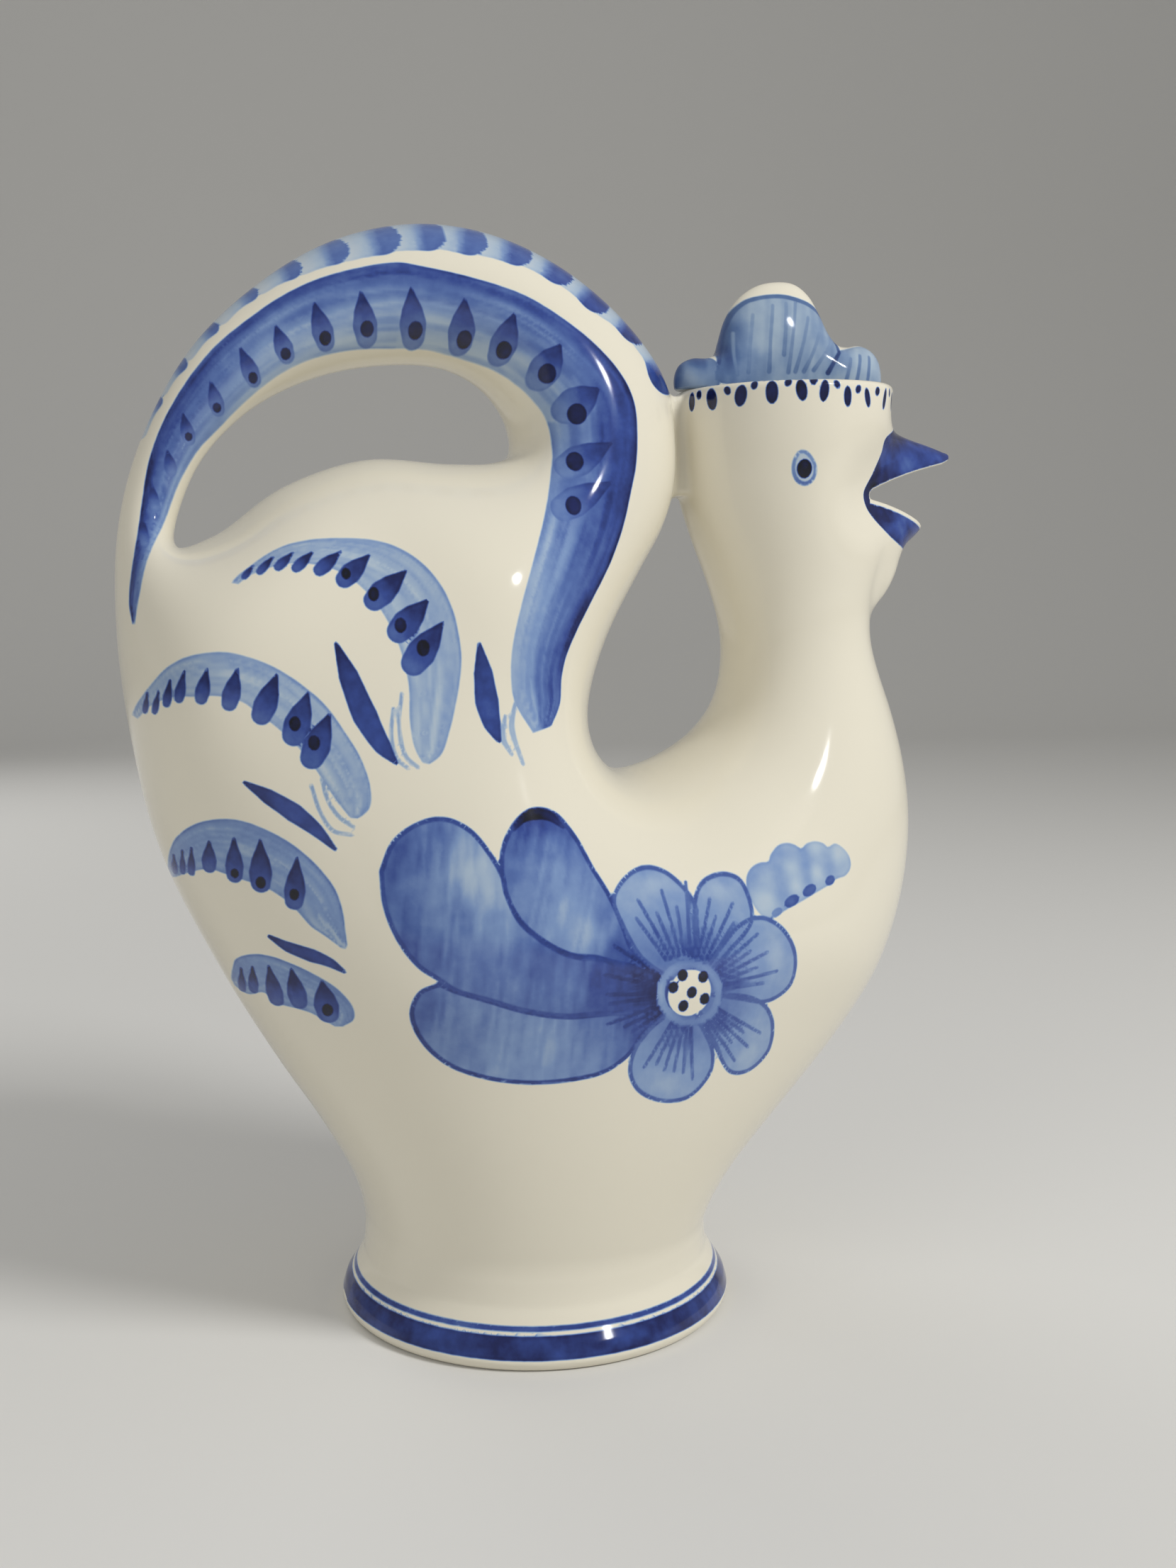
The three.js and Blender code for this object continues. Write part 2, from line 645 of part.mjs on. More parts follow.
// Skin of the part of the bird that a bound leaves, given as a depth in the plane of the bird
function swollen(loop, square, bound, cell) {
  const margin = 2 * cell;
  const xs = loop.map((point) => point[0]);
  const zs = loop.map((point) => point[1]);
  const halfCells = Math.ceil((BELLY_HALF + margin) / cell);
  const reachY = (halfCells + 1 / 2) * cell;
  return skinOf(
    (x, y, z) => Math.min(square(x, z) - y ** 2, bound(x, z) * 2 * RIM_RADIUS),
    [Math.min(...xs) - margin, -reachY, Math.min(...zs) - margin],
    [Math.max(...xs) + margin, reachY, Math.max(...zs) + margin],
    cell);
}

const grownSquare = (x, z) => birdSquare(x, z) + 2 * LUTE_GAP * RIM_RADIUS;
const bodyBound = (x, z) => Math.max(underJoints(x, z) + SKIN_CELL, x - clearX);
const tailBound = (x, z) => Math.min(clearX - x, 2 * TAIL_CELL - underJoints(x, z));
const bodySide = below(rootX, rootHeight, ROOT_JOINT_SLOPE)
  .intersect(below(legRear, legJointHeight, LEG_JOINT_SLOPE))
  .add(inFront(clearX))
  .intersect(below(0, RIM_HEIGHT, 0));
const jointGrown = below(rootX, rootHeight + LUTE_GAP, ROOT_JOINT_SLOPE)
  .intersect(below(legRear, legJointHeight + LUTE_GAP, LEG_JOINT_SLOPE));
const trunk = swollen(birdLoop, birdSquare, bodyBound, SKIN_CELL)
  .intersect(bodySide)
  .subtract(below(0, FOOT_HEIGHT, 0));
const trunkGrown = swollen(birdLoop, grownSquare, bodyBound, SKIN_CELL);
const tailHandle = swollen(birdLoop, birdSquare, tailBound, TAIL_CELL).subtract(jointGrown);
const tailGrown = swollen(birdLoop, grownSquare, tailBound, TAIL_CELL);

// Foot, turned up to the waist
const foot = solidOf(new THREE.LatheGeometry([
  new THREE.Vector2(0, 0),
  new THREE.Vector2(FOOT_UNDER_RADIUS, 0),
  new THREE.Vector2(FOOT_RADIUS, FOOT_EDGE_HEIGHT),
  new THREE.Vector2(FOOT_TOP_RADIUS, FOOT_HEIGHT),
  new THREE.Vector2(WAIST_RADIUS + WAIST_ROLL, WAIST_HEIGHT),
  new THREE.Vector2(WAIST_RADIUS - WALL, WAIST_HEIGHT + 2 * WALL),
  new THREE.Vector2(0, WAIST_HEIGHT + 2 * WALL),
], ROUND_POINTS).rotateX(Math.PI / 2));

// Wattle, moulded with the neck
const wattleRear = NECK_THIN_FRONT - 2 * WALL;
const wattleRibs = [
  level(wattleRear, NECK_THIN_FRONT - WALL / 2, WATTLE_END_HEIGHT, WATTLE_LOW_HALF / 2),
  level(wattleRear, WATTLE_LOW_REACH, WATTLE_LOW_HEIGHT, WATTLE_LOW_HALF),
  level(wattleRear, WATTLE_REACH, WATTLE_HEIGHT, WATTLE_HALF),
  level(wattleRear, CHEEK_FRONT - WALL / 2, WATTLE_TOP_HEIGHT, WATTLE_HALF),
];
const wattle = loft(wattleRibs);
const wattleGrown = loft(wattleRibs, LUTE_GAP);

// Thin web of slip between the tail and the back of the head
const bridgeTop = RIM_HEIGHT - BRIDGE_BELOW_RIM;
const bridgeBlock = new THREE.BoxGeometry(RIM_RADIUS, BRIDGE_THICKNESS, bridgeTop - BRIDGE_LOW_HEIGHT);
bridgeBlock.translate(clearX, 0, (bridgeTop + BRIDGE_LOW_HEIGHT) / 2);
const bridge = solidOf(bridgeBlock).subtract(tailGrown).subtract(trunkGrown);

// Pour hole through the front of the head
const pourOutline = new THREE.Shape();
pourOutline.absellipse(0, 0, POUR_HALF_WIDTH, POUR_HALF_HEIGHT, 0, 2 * Math.PI);
const pourGeometry = new THREE.ExtrudeGeometry(pourOutline, {
  depth: 2 * RIM_RADIUS, bevelEnabled: false, curveSegments: Math.round(RIB_POINTS / 2),
});
pourGeometry.rotateX(Math.PI / 2);
pourGeometry.rotateZ(Math.PI / 2);
pourGeometry.translate(RIM_X, 0, MOUTH_HEIGHT);
const pourHole = solidOf(pourGeometry);

// Hollow: one wall inside the bird, within the outline of the trunk and neck drawn in by one wall
function drawnIn(loop, depth) {
  const last = loop.length - 1;
  return loop.map(([x, z], i) => {
    const [beforeX, beforeZ] = loop[i === 0 ? last - 1 : i - 1];
    const [afterX, afterZ] = loop[i === last ? 1 : i + 1];
    const length = Math.hypot(afterX - beforeX, afterZ - beforeZ);
    return [x + (depth * (afterZ - beforeZ)) / length, z - (depth * (afterX - beforeX)) / length];
  });
}

const ledgeTop = RIM_HEIGHT - CUP_DEPTH;
const ledgeUnder = ledgeTop - LEDGE_THICKNESS;
const hollowLoop = drawnIn(smoothLoop([
  ...rearCorners,
  [-BACK_REAR, BACK_HEIGHT],
  [-CREST_REAR, CREST_HEIGHT],
  [-CROWN_REAR, CROWN_HEIGHT],
  [-CROWN_FRONT, CROWN_HEIGHT],
  [legRear, CALF_HEIGHT],
  ...frontCorners,
]), WALL);
const hollowFilm = swelling([hollowLoop]);
const hollowSquare = (x, z) => {
  const half = Math.sqrt(Math.max(birdSquare(x, z), 0)) - WALL;
  return Math.min(Math.sign(half) * half ** 2, HOLLOW_ROUNDING * hollowFilm(x, z));
};
const noBound = () => Infinity;
const recess = drum(0, FOOT_UNDER_RADIUS - FOOT_RING_WIDTH, -FOOT_RECESS_DEPTH, FOOT_RECESS_DEPTH);
const floorTop = FOOT_RECESS_DEPTH + FLOOR_THICKNESS;
const hollow = swollen(hollowLoop, hollowSquare, noBound, HOLLOW_CELL)
  .subtract(below(0, floorTop, 0))
  .intersect(below(0, ledgeUnder, 0))
  .add(drum(RIM_X, BORE_RADIUS, ledgeUnder - WALL, RIM_HEIGHT + CUP_DEPTH))
  .add(drum(RIM_X, RIM_RADIUS - CUP_WALL, ledgeTop, RIM_HEIGHT + CUP_DEPTH));

// Body: everything moulded in one, less the hollow, the seat of the stopper and the foot's recess
const body = trunk.add(foot).add(wattle)
  .subtract(hollow)
  .subtract(recess)
  .subtract(pourHole);

// Upper beak: a hood that tapers to the tip, hollow under its roof
const mouthTop = MOUTH_HEIGHT + MOUTH_SPLIT / 2;
const beakRoot = CHEEK_FRONT - 2 * WALL;
const beakLength = BEAK_TIP_X - beakRoot;

function beakStation(share, shrink, drop) {
  const x = beakRoot + beakLength * share;
  const roof = THREE.MathUtils.lerp(BEAK_TOP_HEIGHT + WALL / 2, BEAK_TIP_HEIGHT + BEAK_TIP_EDGE, share);
  const lip = THREE.MathUtils.lerp(mouthTop, BEAK_TIP_HEIGHT - BEAK_TIP_EDGE, share);
  const half = THREE.MathUtils.lerp(BEAK_HALF, BEAK_TIP_EDGE, share);
  return upright(x, lip - drop, roof - shrink, half - shrink);
}

const hoodShares = [0, 0.25, 0.5, 0.75, 1];
const hood = loft(hoodShares.map((share) => beakStation(share, 0, 0)));
const hoodHollow = loft(
  hoodShares.slice(0, -2).map((share) => beakStation(share, BEAK_WALL, 2 * BEAK_WALL)));
const upperBeak = hood.subtract(hoodHollow).subtract(trunkGrown);

// Lower beak: a short trough below the mouth, on top of the wattle
const mouthUnder = MOUTH_HEIGHT - MOUTH_SPLIT / 2;
const jawLength = JAW_TIP_X - beakRoot;

function jawStation(share, shrink, rise) {
  const x = beakRoot + jawLength * share;
  const lip = THREE.MathUtils.lerp(mouthUnder, JAW_TIP_HEIGHT, share ** JAW_LIP_BEND);
  const underTip = JAW_TIP_HEIGHT - 2 * BEAK_TIP_EDGE;
  const under = THREE.MathUtils.lerp(JAW_UNDER_HEIGHT, underTip, share ** JAW_UNDER_BEND);
  const half = THREE.MathUtils.lerp(JAW_HALF, JAW_TIP_HALF, share);
  return upright(x, under + shrink, lip + rise, half - shrink);
}

const trough = loft(hoodShares.map((share) => jawStation(share, 0, 0)));
const troughHollow = loft(
  hoodShares.map((share) => jawStation(share, BEAK_WALL, 2 * BEAK_WALL)));
const lowerBeak = trough.subtract(troughHollow).subtract(trunkGrown).subtract(wattleGrown);

// Stopper: a flanged plug in the seat of the head, with the comb standing on it
const plugUnder = ledgeTop + LUTE_GAP;
const plugTop = plugUnder + FLANGE_THICKNESS;
const plugRadius = BORE_RADIUS - PLUG_CLEARANCE;
const plug = drum(RIM_X, RIM_RADIUS - CUP_WALL - PLUG_CLEARANCE, plugUnder, plugTop)
  .add(drum(RIM_X, plugRadius, plugUnder - PLUG_LENGTH, plugTop))
  .subtract(drum(RIM_X, plugRadius - PLUG_WALL, plugUnder - 2 * PLUG_LENGTH, plugUnder));

// One lobe of the comb: a round slab with soft edges
function lobe(x, height, radius) {
  const halfThick = COMB_THICKNESS / 2;
  const outline = [new THREE.Vector2(0, -halfThick)];
  const edgeSteps = 3;
  for (let side = 0; side < 2; side += 1) {
    for (let step = 0; step <= edgeSteps; step += 1) {
      const angle = (Math.PI / 2) * (step / edgeSteps - 1 + side);
      const lift = (side === 0 ? -1 : 1) * (halfThick - COMB_EDGE);
      outline.push(new THREE.Vector2(
        radius - COMB_EDGE + COMB_EDGE * Math.cos(angle), lift + COMB_EDGE * Math.sin(angle)));
    }
  }
  outline.push(new THREE.Vector2(0, halfThick));
  const geometry = new THREE.LatheGeometry(outline, RIB_POINTS);
  geometry.translate(x, 0, height);
  return solidOf(geometry);
}

const combSeat = RIM_HEIGHT + LUTE_GAP;
const tongueLow = plugTop + LUTE_GAP;
const tongueHigh = COMB_REAR_HEIGHT + COMB_REAR_RADIUS / 2;
const tongueBlock = new THREE.BoxGeometry(
  COMB_TONGUE_LENGTH, COMB_THICKNESS - COMB_EDGE / 2, tongueHigh - tongueLow);
tongueBlock.translate(RIM_X, 0, (tongueLow + tongueHigh) / 2);
const comb = lobe(COMB_REAR_X, COMB_REAR_HEIGHT, COMB_REAR_RADIUS)
  .add(lobe(COMB_MIDDLE_X, COMB_MIDDLE_HEIGHT, COMB_MIDDLE_RADIUS))
  .add(lobe(COMB_FRONT_X, COMB_FRONT_HEIGHT, COMB_FRONT_RADIUS))
  .subtract(below(RIM_X, combSeat, 0))
  .add(solidOf(tongueBlock));

// Glazes: warm ivory over all, and the strong blue of the beak
const ivoryGlaze = new THREE.MeshStandardMaterial({ color: 0xe6e0cd, roughness: 0.12, metalness: 0 });
const blueGlaze = new THREE.MeshStandardMaterial({ color: 0x3a52a8, roughness: 0.12, metalness: 0 });
const paleBlueGlaze = new THREE.MeshStandardMaterial({ color: 0x8ea6cf, roughness: 0.12, metalness: 0 });

function meshOf(name, manifold, material) {
  const { vertProperties, triVerts } = manifold.getMesh();
  const geometry = new THREE.BufferGeometry();
  geometry.setAttribute('position', new THREE.BufferAttribute(vertProperties, 3));
  geometry.setIndex(new THREE.BufferAttribute(triVerts, 1));
  geometry.computeVertexNormals();
  const mesh = new THREE.Mesh(geometry, material);
  mesh.name = name;
  return mesh;
}

const vessel = new THREE.Group();
vessel.add(
  meshOf('body', body, ivoryGlaze),
  meshOf('tail_handle', tailHandle, ivoryGlaze),
  meshOf('tail_bridge', bridge, ivoryGlaze),
  meshOf('upper_beak', upperBeak, blueGlaze),
  meshOf('lower_beak', lowerBeak, blueGlaze),
);
const stopper = new THREE.Group();
stopper.add(
  meshOf('stopper_plug', plug, ivoryGlaze),
  meshOf('comb', comb, paleBlueGlaze),
);
const carafe = new THREE.Group();
carafe.add(vessel, stopper);
carafe.position.x = -FOOT_SETBACK;

export default carafe;
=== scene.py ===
import bpy
import numpy as np
from mathutils import Matrix


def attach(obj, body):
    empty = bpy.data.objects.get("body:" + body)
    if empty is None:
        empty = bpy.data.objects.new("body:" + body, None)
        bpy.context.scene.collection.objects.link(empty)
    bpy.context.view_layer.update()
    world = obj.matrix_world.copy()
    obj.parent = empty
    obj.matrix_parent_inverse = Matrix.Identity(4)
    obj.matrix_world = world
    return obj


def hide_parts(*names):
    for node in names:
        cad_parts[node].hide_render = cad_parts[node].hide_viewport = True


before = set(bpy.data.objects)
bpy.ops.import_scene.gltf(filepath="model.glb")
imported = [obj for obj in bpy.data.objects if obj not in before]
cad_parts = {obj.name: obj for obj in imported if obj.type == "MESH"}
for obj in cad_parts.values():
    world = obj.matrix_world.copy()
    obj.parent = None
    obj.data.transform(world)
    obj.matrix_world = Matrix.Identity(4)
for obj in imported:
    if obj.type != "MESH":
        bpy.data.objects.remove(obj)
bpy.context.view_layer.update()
print("frame loaded")

# All shapes are worked out in millimetres from the middle of the foot, beak toward +x.
# Only the finished meshes are moved back by footSetback and written in metres.
footSetback = 6.2


# Soft outlines and the film that swells them

def smoothLoop(points, perSpan=10):
    # closed centripetal Catmull-Rom curve: each span is blended three times between its knots
    p = np.array(points, float)
    p0, p1, p2, p3 = (np.roll(p, shift, 0)[:, None] for shift in (1, 0, -1, -2))
    gap = lambda a, b: np.sqrt(np.hypot(*np.moveaxis(b - a, -1, 0)))[..., None]
    t1 = gap(p0, p1)
    t2 = t1 + gap(p1, p2)
    t3 = t2 + gap(p2, p3)
    t = t1 + (t2 - t1) * np.linspace(0, 1, perSpan, endpoint=False)[None, :, None]
    mix = lambda a, b, ta, tb: (a * (tb - t) + b * (t - ta)) / (tb - ta)
    a1, a2, a3 = mix(p0, p1, 0, t1), mix(p1, p2, t1, t2), mix(p2, p3, t2, t3)
    return mix(mix(a1, a2, 0, t2), mix(a2, a3, t1, t3), t1, t2).reshape(-1, 2)


def nearestOn(loops, px, pz):
    # nearest point of the loops to each point, as the foot of the shortest drop on any straight piece
    a = np.concatenate(loops)
    b = np.concatenate([np.roll(loop, -1, 0) for loop in loops])
    d = b - a
    best = np.empty((len(px), 2))
    for part in np.array_split(np.arange(len(px)), len(px) // 4000 + 1):
        q = np.stack([px[part], pz[part]], 1)[:, None]
        share = np.clip(((q - a) * d).sum(2) / (d * d).sum(1), 0, 1)
        foot = a + share[..., None] * d
        pick = ((q - foot) ** 2).sum(2).argmin(1)
        best[part] = foot[np.arange(len(part)), pick]
    return best


def insideOf(loops, px, pz):
    # even-odd count of the crossings to the right of each point
    a = np.concatenate(loops)
    b = np.concatenate([np.roll(loop, -1, 0) for loop in loops])
    rise = np.where(a[:, 1] == b[:, 1], 1, b[:, 1] - a[:, 1])
    inside = np.zeros(len(px), bool)
    for part in np.array_split(np.arange(len(px)), len(px) // 8000 + 1):
        x, z = px[part, None], pz[part, None]
        across = (a[:, 1] > z) != (b[:, 1] > z)
        inside[part] = (across & (a[:, 0] + (z - a[:, 1]) / rise * (b[:, 0] - a[:, 0]) > x)).sum(1) % 2 == 1
    return inside


class Film:
    # Height of a film stretched over the loops under even pressure, so that its square root is
    # the round half thickness of a limb. The widths then scale it: each width gives the half
    # thickness wanted at one place, and a soft mix of them holds in between.
    sides = ((1, 0), (-1, 0), (0, 1), (0, -1))
    corners = ((1, 1), (1, -1), (-1, 1), (-1, -1))

    def __init__(self, loops, step, widths, passes=620):
        every = np.concatenate(loops)
        self.step = step
        self.low = every.min(0) - 9 * step
        count = np.ceil((every.max(0) - self.low) / step).astype(int) + 9
        xs, zs = (self.low[i] + step * np.arange(count[i]) for i in (0, 1))
        gx, gz = np.meshgrid(xs, zs, indexing="ij")
        inside = insideOf(loops, gx.ravel(), gz.ravel()).reshape(gx.shape)
        # true distances are needed only near the loops
        near = np.zeros_like(inside)
        cell = np.round((every - self.low) / step).astype(int)
        near[cell[:, 0], cell[:, 1]] = True
        for turn in range(7):
            near[1:-1] |= near[2:] | near[:-2]
            near[:, 1:-1] |= near[:, 2:] | near[:, :-2]
        i, k = np.nonzero(near)
        foot = nearestOn(loops, xs[i], zs[k])
        far = np.hypot(xs[i] - foot[:, 0], zs[k] - foot[:, 1])
        depth = np.where(inside, 9 * step, -9 * step)
        depth[i, k] = np.where(inside[i, k], far, -far)
        u = self.relax(inside, depth, passes)
        # outside, the film goes on as its own mirror image in the loop, turned over
        out = ~inside[i, k]
        io, ko = i[out], k[out]
        mirror = 2 * foot[out] - np.stack([xs[io], zs[ko]], 1)
        # and falls at least this fast, so that nothing swells outside
        fall = lambda d: 1.2 * d + 0.12 * d ** 2
        u[~inside] = np.where(depth[~inside] > -8.9 * step, -fall(-depth[~inside]), -60)
        rise = np.where(inside, u / np.maximum(depth, 0.15 * step), 0)
        edge, weight = self.around(rise, inside, self.sides + self.corners)
        first = (~inside) & (weight > 0)
        u[first] = depth[first] * edge[first] / weight[first]
        for turn in range(3):
            self.grid = u
            turned = np.maximum(self.linear(mirror[:, 0], mirror[:, 1]), fall(far[out]))
            u[io, ko] = -np.minimum(turned, 400)
        # further out it falls on from there
        known = inside | near
        for turn in range(14):
            edge, weight = self.around(u, known, self.sides)
            ring = ~known & (weight > 0)
            u[ring] = edge[ring] / weight[ring] - 4 * step
            known |= ring
        self.grid = u
        # widths, each with its own reach
        place = np.array([w[:2] for w in widths], float)
        half = np.array([w[2] for w in widths], float)
        reach = np.array([w[3] if len(w) > 3 else 30 for w in widths], float)
        share = half ** 2 / self.linear(place[:, 0], place[:, 1])
        top = np.zeros_like(gx)
        total = np.zeros_like(gx)
        for (x, z), s, r in zip(place, share, reach):
            w = np.exp(-((gx - x) ** 2 + (gz - z) ** 2) / r ** 2) + 1e-6
            top += w * s
            total += w
        self.grid = u * top / total

    def around(self, values, known, moves):
        # sum of the known neighbours of each grid point, and how many they are
        total, count = np.zeros_like(values), np.zeros_like(values)
        for move in moves:
            total += np.roll(values * known, move, (0, 1))
            count += np.roll(known, move, (0, 1))
        return total, count

    def relax(self, inside, depth, passes):
        # red and black points in turn, with a short arm where the loop cuts between two points
        u = np.zeros(inside.size)
        rows = inside.shape[1]
        flat, d = inside.ravel(), depth.ravel()
        i, k = np.nonzero(inside)
        sets = []
        for colour in (0, 1):
            at = (i * rows + k)[(i + k) % 2 == colour]
            arm, kept = [], []
            for move in (-rows, rows, -1, 1):
                there = flat[at + move]
                short = np.clip(d[at] / np.maximum(d[at] - d[at + move], 1e-9), 0.05, 1)
                arm.append(np.where(there, 1, short))
                kept.append(there)
            w, e, s, n = arm
            pull = 2 / (w * e) + 2 / (s * n)
            parts = [2 * kept[0] / (w * (w + e)), 2 * kept[1] / (e * (w + e)),
                     2 * kept[2] / (s * (s + n)), 2 * kept[3] / (n * (s + n))]
            sets.append((at, [part / pull for part in parts], 2 * self.step ** 2 / pull))
        for turn in range(passes):
            for at, (w, e, s, n), push in sets:
                new = w * u[at - rows] + e * u[at + rows] + s * u[at - 1] + n * u[at + 1] + push
                u[at] += 1.955 * (new - u[at])
        return u.reshape(inside.shape)

    def linear(self, x, z):
        # straight mix of the four grid points round each place
        u = np.clip((x - self.low[0]) / self.step, 0, self.grid.shape[0] - 1.001)
        w = np.clip((z - self.low[1]) / self.step, 0, self.grid.shape[1] - 1.001)
        i, k = u.astype(int), w.astype(int)
        fu, fw = u - i, w - k
        g = self.grid
        return ((1 - fu) * ((1 - fw) * g[i, k] + fw * g[i, k + 1])
                + fu * ((1 - fw) * g[i + 1, k] + fw * g[i + 1, k + 1]))

    def read(self, x, z):
        # value and slopes by Catmull-Rom cubics over four by four grid points
        u = np.clip((x - self.low[0]) / self.step, 1, self.grid.shape[0] - 3.001)
        w = np.clip((z - self.low[1]) / self.step, 1, self.grid.shape[1] - 3.001)
        i, k = u.astype(int), w.astype(int)

        def cubic(t):
            return ((-t + 2 * t ** 2 - t ** 3) / 2, (2 - 5 * t ** 2 + 3 * t ** 3) / 2,
                    (t + 4 * t ** 2 - 3 * t ** 3) / 2, (t ** 3 - t ** 2) / 2)

        def slope(t):
            return ((-1 + 4 * t - 3 * t ** 2) / 2, (-10 * t + 9 * t ** 2) / 2,
                    (1 + 8 * t - 9 * t ** 2) / 2, (3 * t ** 2 - 2 * t) / 2)

        a, da, b, db = cubic(u - i), slope(u - i), cubic(w - k), slope(w - k)
        value = sx = sz = 0
        for m in range(4):
            row = rowSlope = 0
            for n in range(4):
                g = self.grid[i + m - 1, k + n - 1]
                row = row + b[n] * g
                rowSlope = rowSlope + db[n] * g
            value = value + a[m] * row
            sx = sx + da[m] * row
            sz = sz + a[m] * rowSlope
        return value, sx / self.step, sz / self.step


# Solid forms: each gives its depth under the surface and the three slopes of that depth

def swollen(film, x, y, z):
    # film height less y squared, over its own slope
    s, sx, sz = film.read(x, z)
    size = np.maximum(np.sqrt(sx ** 2 + sz ** 2 + 4 * y ** 2), 6)
    return [(s - y ** 2) / size, sx / size, -2 * y / size, sz / size]


def slab(value, low, high):
    # between two planes of one coordinate: depth and its slope
    return np.minimum(value - low, high - value), np.where(value - low < high - value, 1.0, -1.0)


def join(a, b, soft):
    # soft union: the deeper of the two, rounded where they are within soft of each other
    h = np.clip(0.5 + (a[0] - b[0]) / (2 * soft), 0, 1)
    return ([b[0] + (a[0] - b[0]) * h + soft * h * (1 - h)]
            + [h * ga + (1 - h) * gb for ga, gb in zip(a[1:], b[1:])])


def cut(a, b, soft):
    # a less b, with the edge rounded
    turned = join([-v for v in a], b, soft)
    return [-v for v in turned]


def both(a, b, soft):
    # where both are: a less all that isn't b
    return cut(a, [-v for v in b], soft)


def overLevel(z, level):
    # depth over a level
    return [z - level, 0, 0, 1]


def underLevel(z, level):
    # depth under a level
    return [level - z, 0, 0, -1]


def aheadOf(x, place):
    # depth ahead of a place along x
    return [x - place, 1, 0, 0]


def lathe(profile, x, y, z, axis=0.0):
    # turned form: radius of the profile at this height less the distance from the axis
    r = np.maximum(np.hypot(x - axis, y), 1e-6)
    heights, radii = np.array(profile, float).T
    fine = np.linspace(heights[0], heights[-1], 400)
    radius = np.interp(fine, heights, radii)
    for turn in range(40):
        radius[1:-1] = (radius[:-2] + 2 * radius[1:-1] + radius[2:]) / 4
    rate = np.gradient(radius, fine)
    at = np.clip(z, heights[0], heights[-1])
    tilt = np.interp(at, fine, rate)
    size = np.sqrt(1 + tilt ** 2)
    depth = (np.interp(at, fine, radius) - r) / size
    return [depth, (axis - x) / r / size, -y / r / size, tilt / size + 0 * r]


# Mesh work

def skinNets(form, xs, ys, zs):
    # one point in each cell that the surface passes through, at the mean of the cell's crossings,
    # and one four-sided face round each grid edge that it crosses
    values = np.concatenate([form(xs[part, None, None], ys[None, :, None], zs[None, None, :])[0]
                             for part in np.array_split(np.arange(len(xs)), 6)])
    shape = np.array(values.shape)
    axes = (xs, ys, zs)
    weight = np.zeros(values.size, np.int32)
    total = np.zeros((3, values.size))
    faces = []
    flatOf = lambda ijk: (ijk[0] * shape[1] + ijk[1]) * shape[2] + ijk[2]
    for axis in range(3):
        ahead = np.moveaxis(values, axis, 0)
        first, second = ahead[:-1], ahead[1:]
        where = np.nonzero((first > 0) != (second > 0))
        a, b = first[where], second[where]
        share = a / (a - b)
        ijk = [None] * 3
        rest = [i for i in range(3) if i != axis]
        ijk[axis], ijk[rest[0]], ijk[rest[1]] = where
        point = [axes[n][ijk[n]] for n in range(3)]
        point[axis] = point[axis] + share * (axes[axis][ijk[axis] + 1] - point[axis])
        ring = []
        u, v = (axis + 1) % 3, (axis + 2) % 3
        for du, dv in ((-1, -1), (0, -1), (0, 0), (-1, 0)):
            cell = list(ijk)
            cell[u] = ijk[u] + du
            cell[v] = ijk[v] + dv
            at = flatOf(cell)
            ring.append(at)
            weight += np.bincount(at, minlength=values.size).astype(np.int32)
            for n in range(3):
                total[n] += np.bincount(at, point[n], minlength=values.size)
        quad = np.stack(ring, 1)
        back = a <= 0
        quad[back] = quad[back][:, ::-1]
        faces.append(quad)
    used = np.nonzero(weight)[0]
    number = np.full(values.size, -1)
    number[used] = np.arange(len(used))
    return (total[:, used] / weight[used]).T, number[np.concatenate(faces)]


def settle(points, form, passes, most):
    # Newton steps along the slope on to the surface; returns the points and their outward normals
    for turn in range(passes):
        f, gx, gy, gz = form(*points.T)
        g = np.stack([gx, gy, gz], 1)
        move = -(f / np.maximum((g ** 2).sum(1), 1e-4))[:, None] * g
        size = np.linalg.norm(move, axis=1, keepdims=True)
        points = points + move * np.minimum(1, most / np.maximum(size, 1e-9))
    f, gx, gy, gz = form(*points.T)
    normal = -np.stack([gx, gy, gz], 1)
    return points, normal / np.maximum(np.linalg.norm(normal, axis=1, keepdims=True), 1e-9)


def refine(points, quads):
    # each face becomes four: corners, middles of its sides and its own middle
    count = len(points)
    ends = np.sort(np.stack([quads, np.roll(quads, -1, 1)], 2), axis=2)
    key, back = np.unique(ends[..., 0] * count + ends[..., 1], return_inverse=True)
    back = back.reshape(quads.shape) + count
    middle = count + len(key) + np.arange(len(quads))
    points = np.concatenate([points, (points[key // count] + points[key % count]) / 2, points[quads].mean(1)])
    fours = [np.stack([quads[:, n], back[:, n], middle, back[:, n - 1]], 1) for n in range(4)]
    return points, np.concatenate(fours)


def gridFaces(rows, columns, closed):
    # faces between neighbouring points of a grid, whose rows are rings if closed
    r, c = np.meshgrid(np.arange(rows - 1), np.arange(columns if closed else columns - 1), indexing="ij")
    along = (c + 1) % columns
    here, there = r * columns, (r + 1) * columns
    return np.stack([here + c, there + c, there + along, here + along], 2).reshape(-1, 4)


def newMesh(name, points, faces, normals=None, **attributes):
    # points in millimetres from the foot go into the frame, in metres
    mesh = bpy.data.meshes.new(name)
    mesh.vertices.add(len(points))
    mesh.vertices.foreach_set("co", ((points - (footSetback, 0, 0)) / 1000).astype(np.float32).ravel())
    mesh.loops.add(faces.size)
    mesh.loops.foreach_set("vertex_index", faces.astype(np.int32).ravel())
    mesh.polygons.add(len(faces))
    mesh.polygons.foreach_set("loop_start", np.arange(0, faces.size, faces.shape[1], dtype=np.int32))
    mesh.update(calc_edges=True)
    for key, values in attributes.items():
        mesh.attributes.new(key, "FLOAT", "POINT").data.foreach_set("value", values.astype(np.float32))
    if normals is not None:
        mesh.normals_split_custom_set_from_vertices(normals.tolist())
    piece = bpy.data.objects.new(name, mesh)
    bpy.context.scene.collection.objects.link(piece)
    return piece


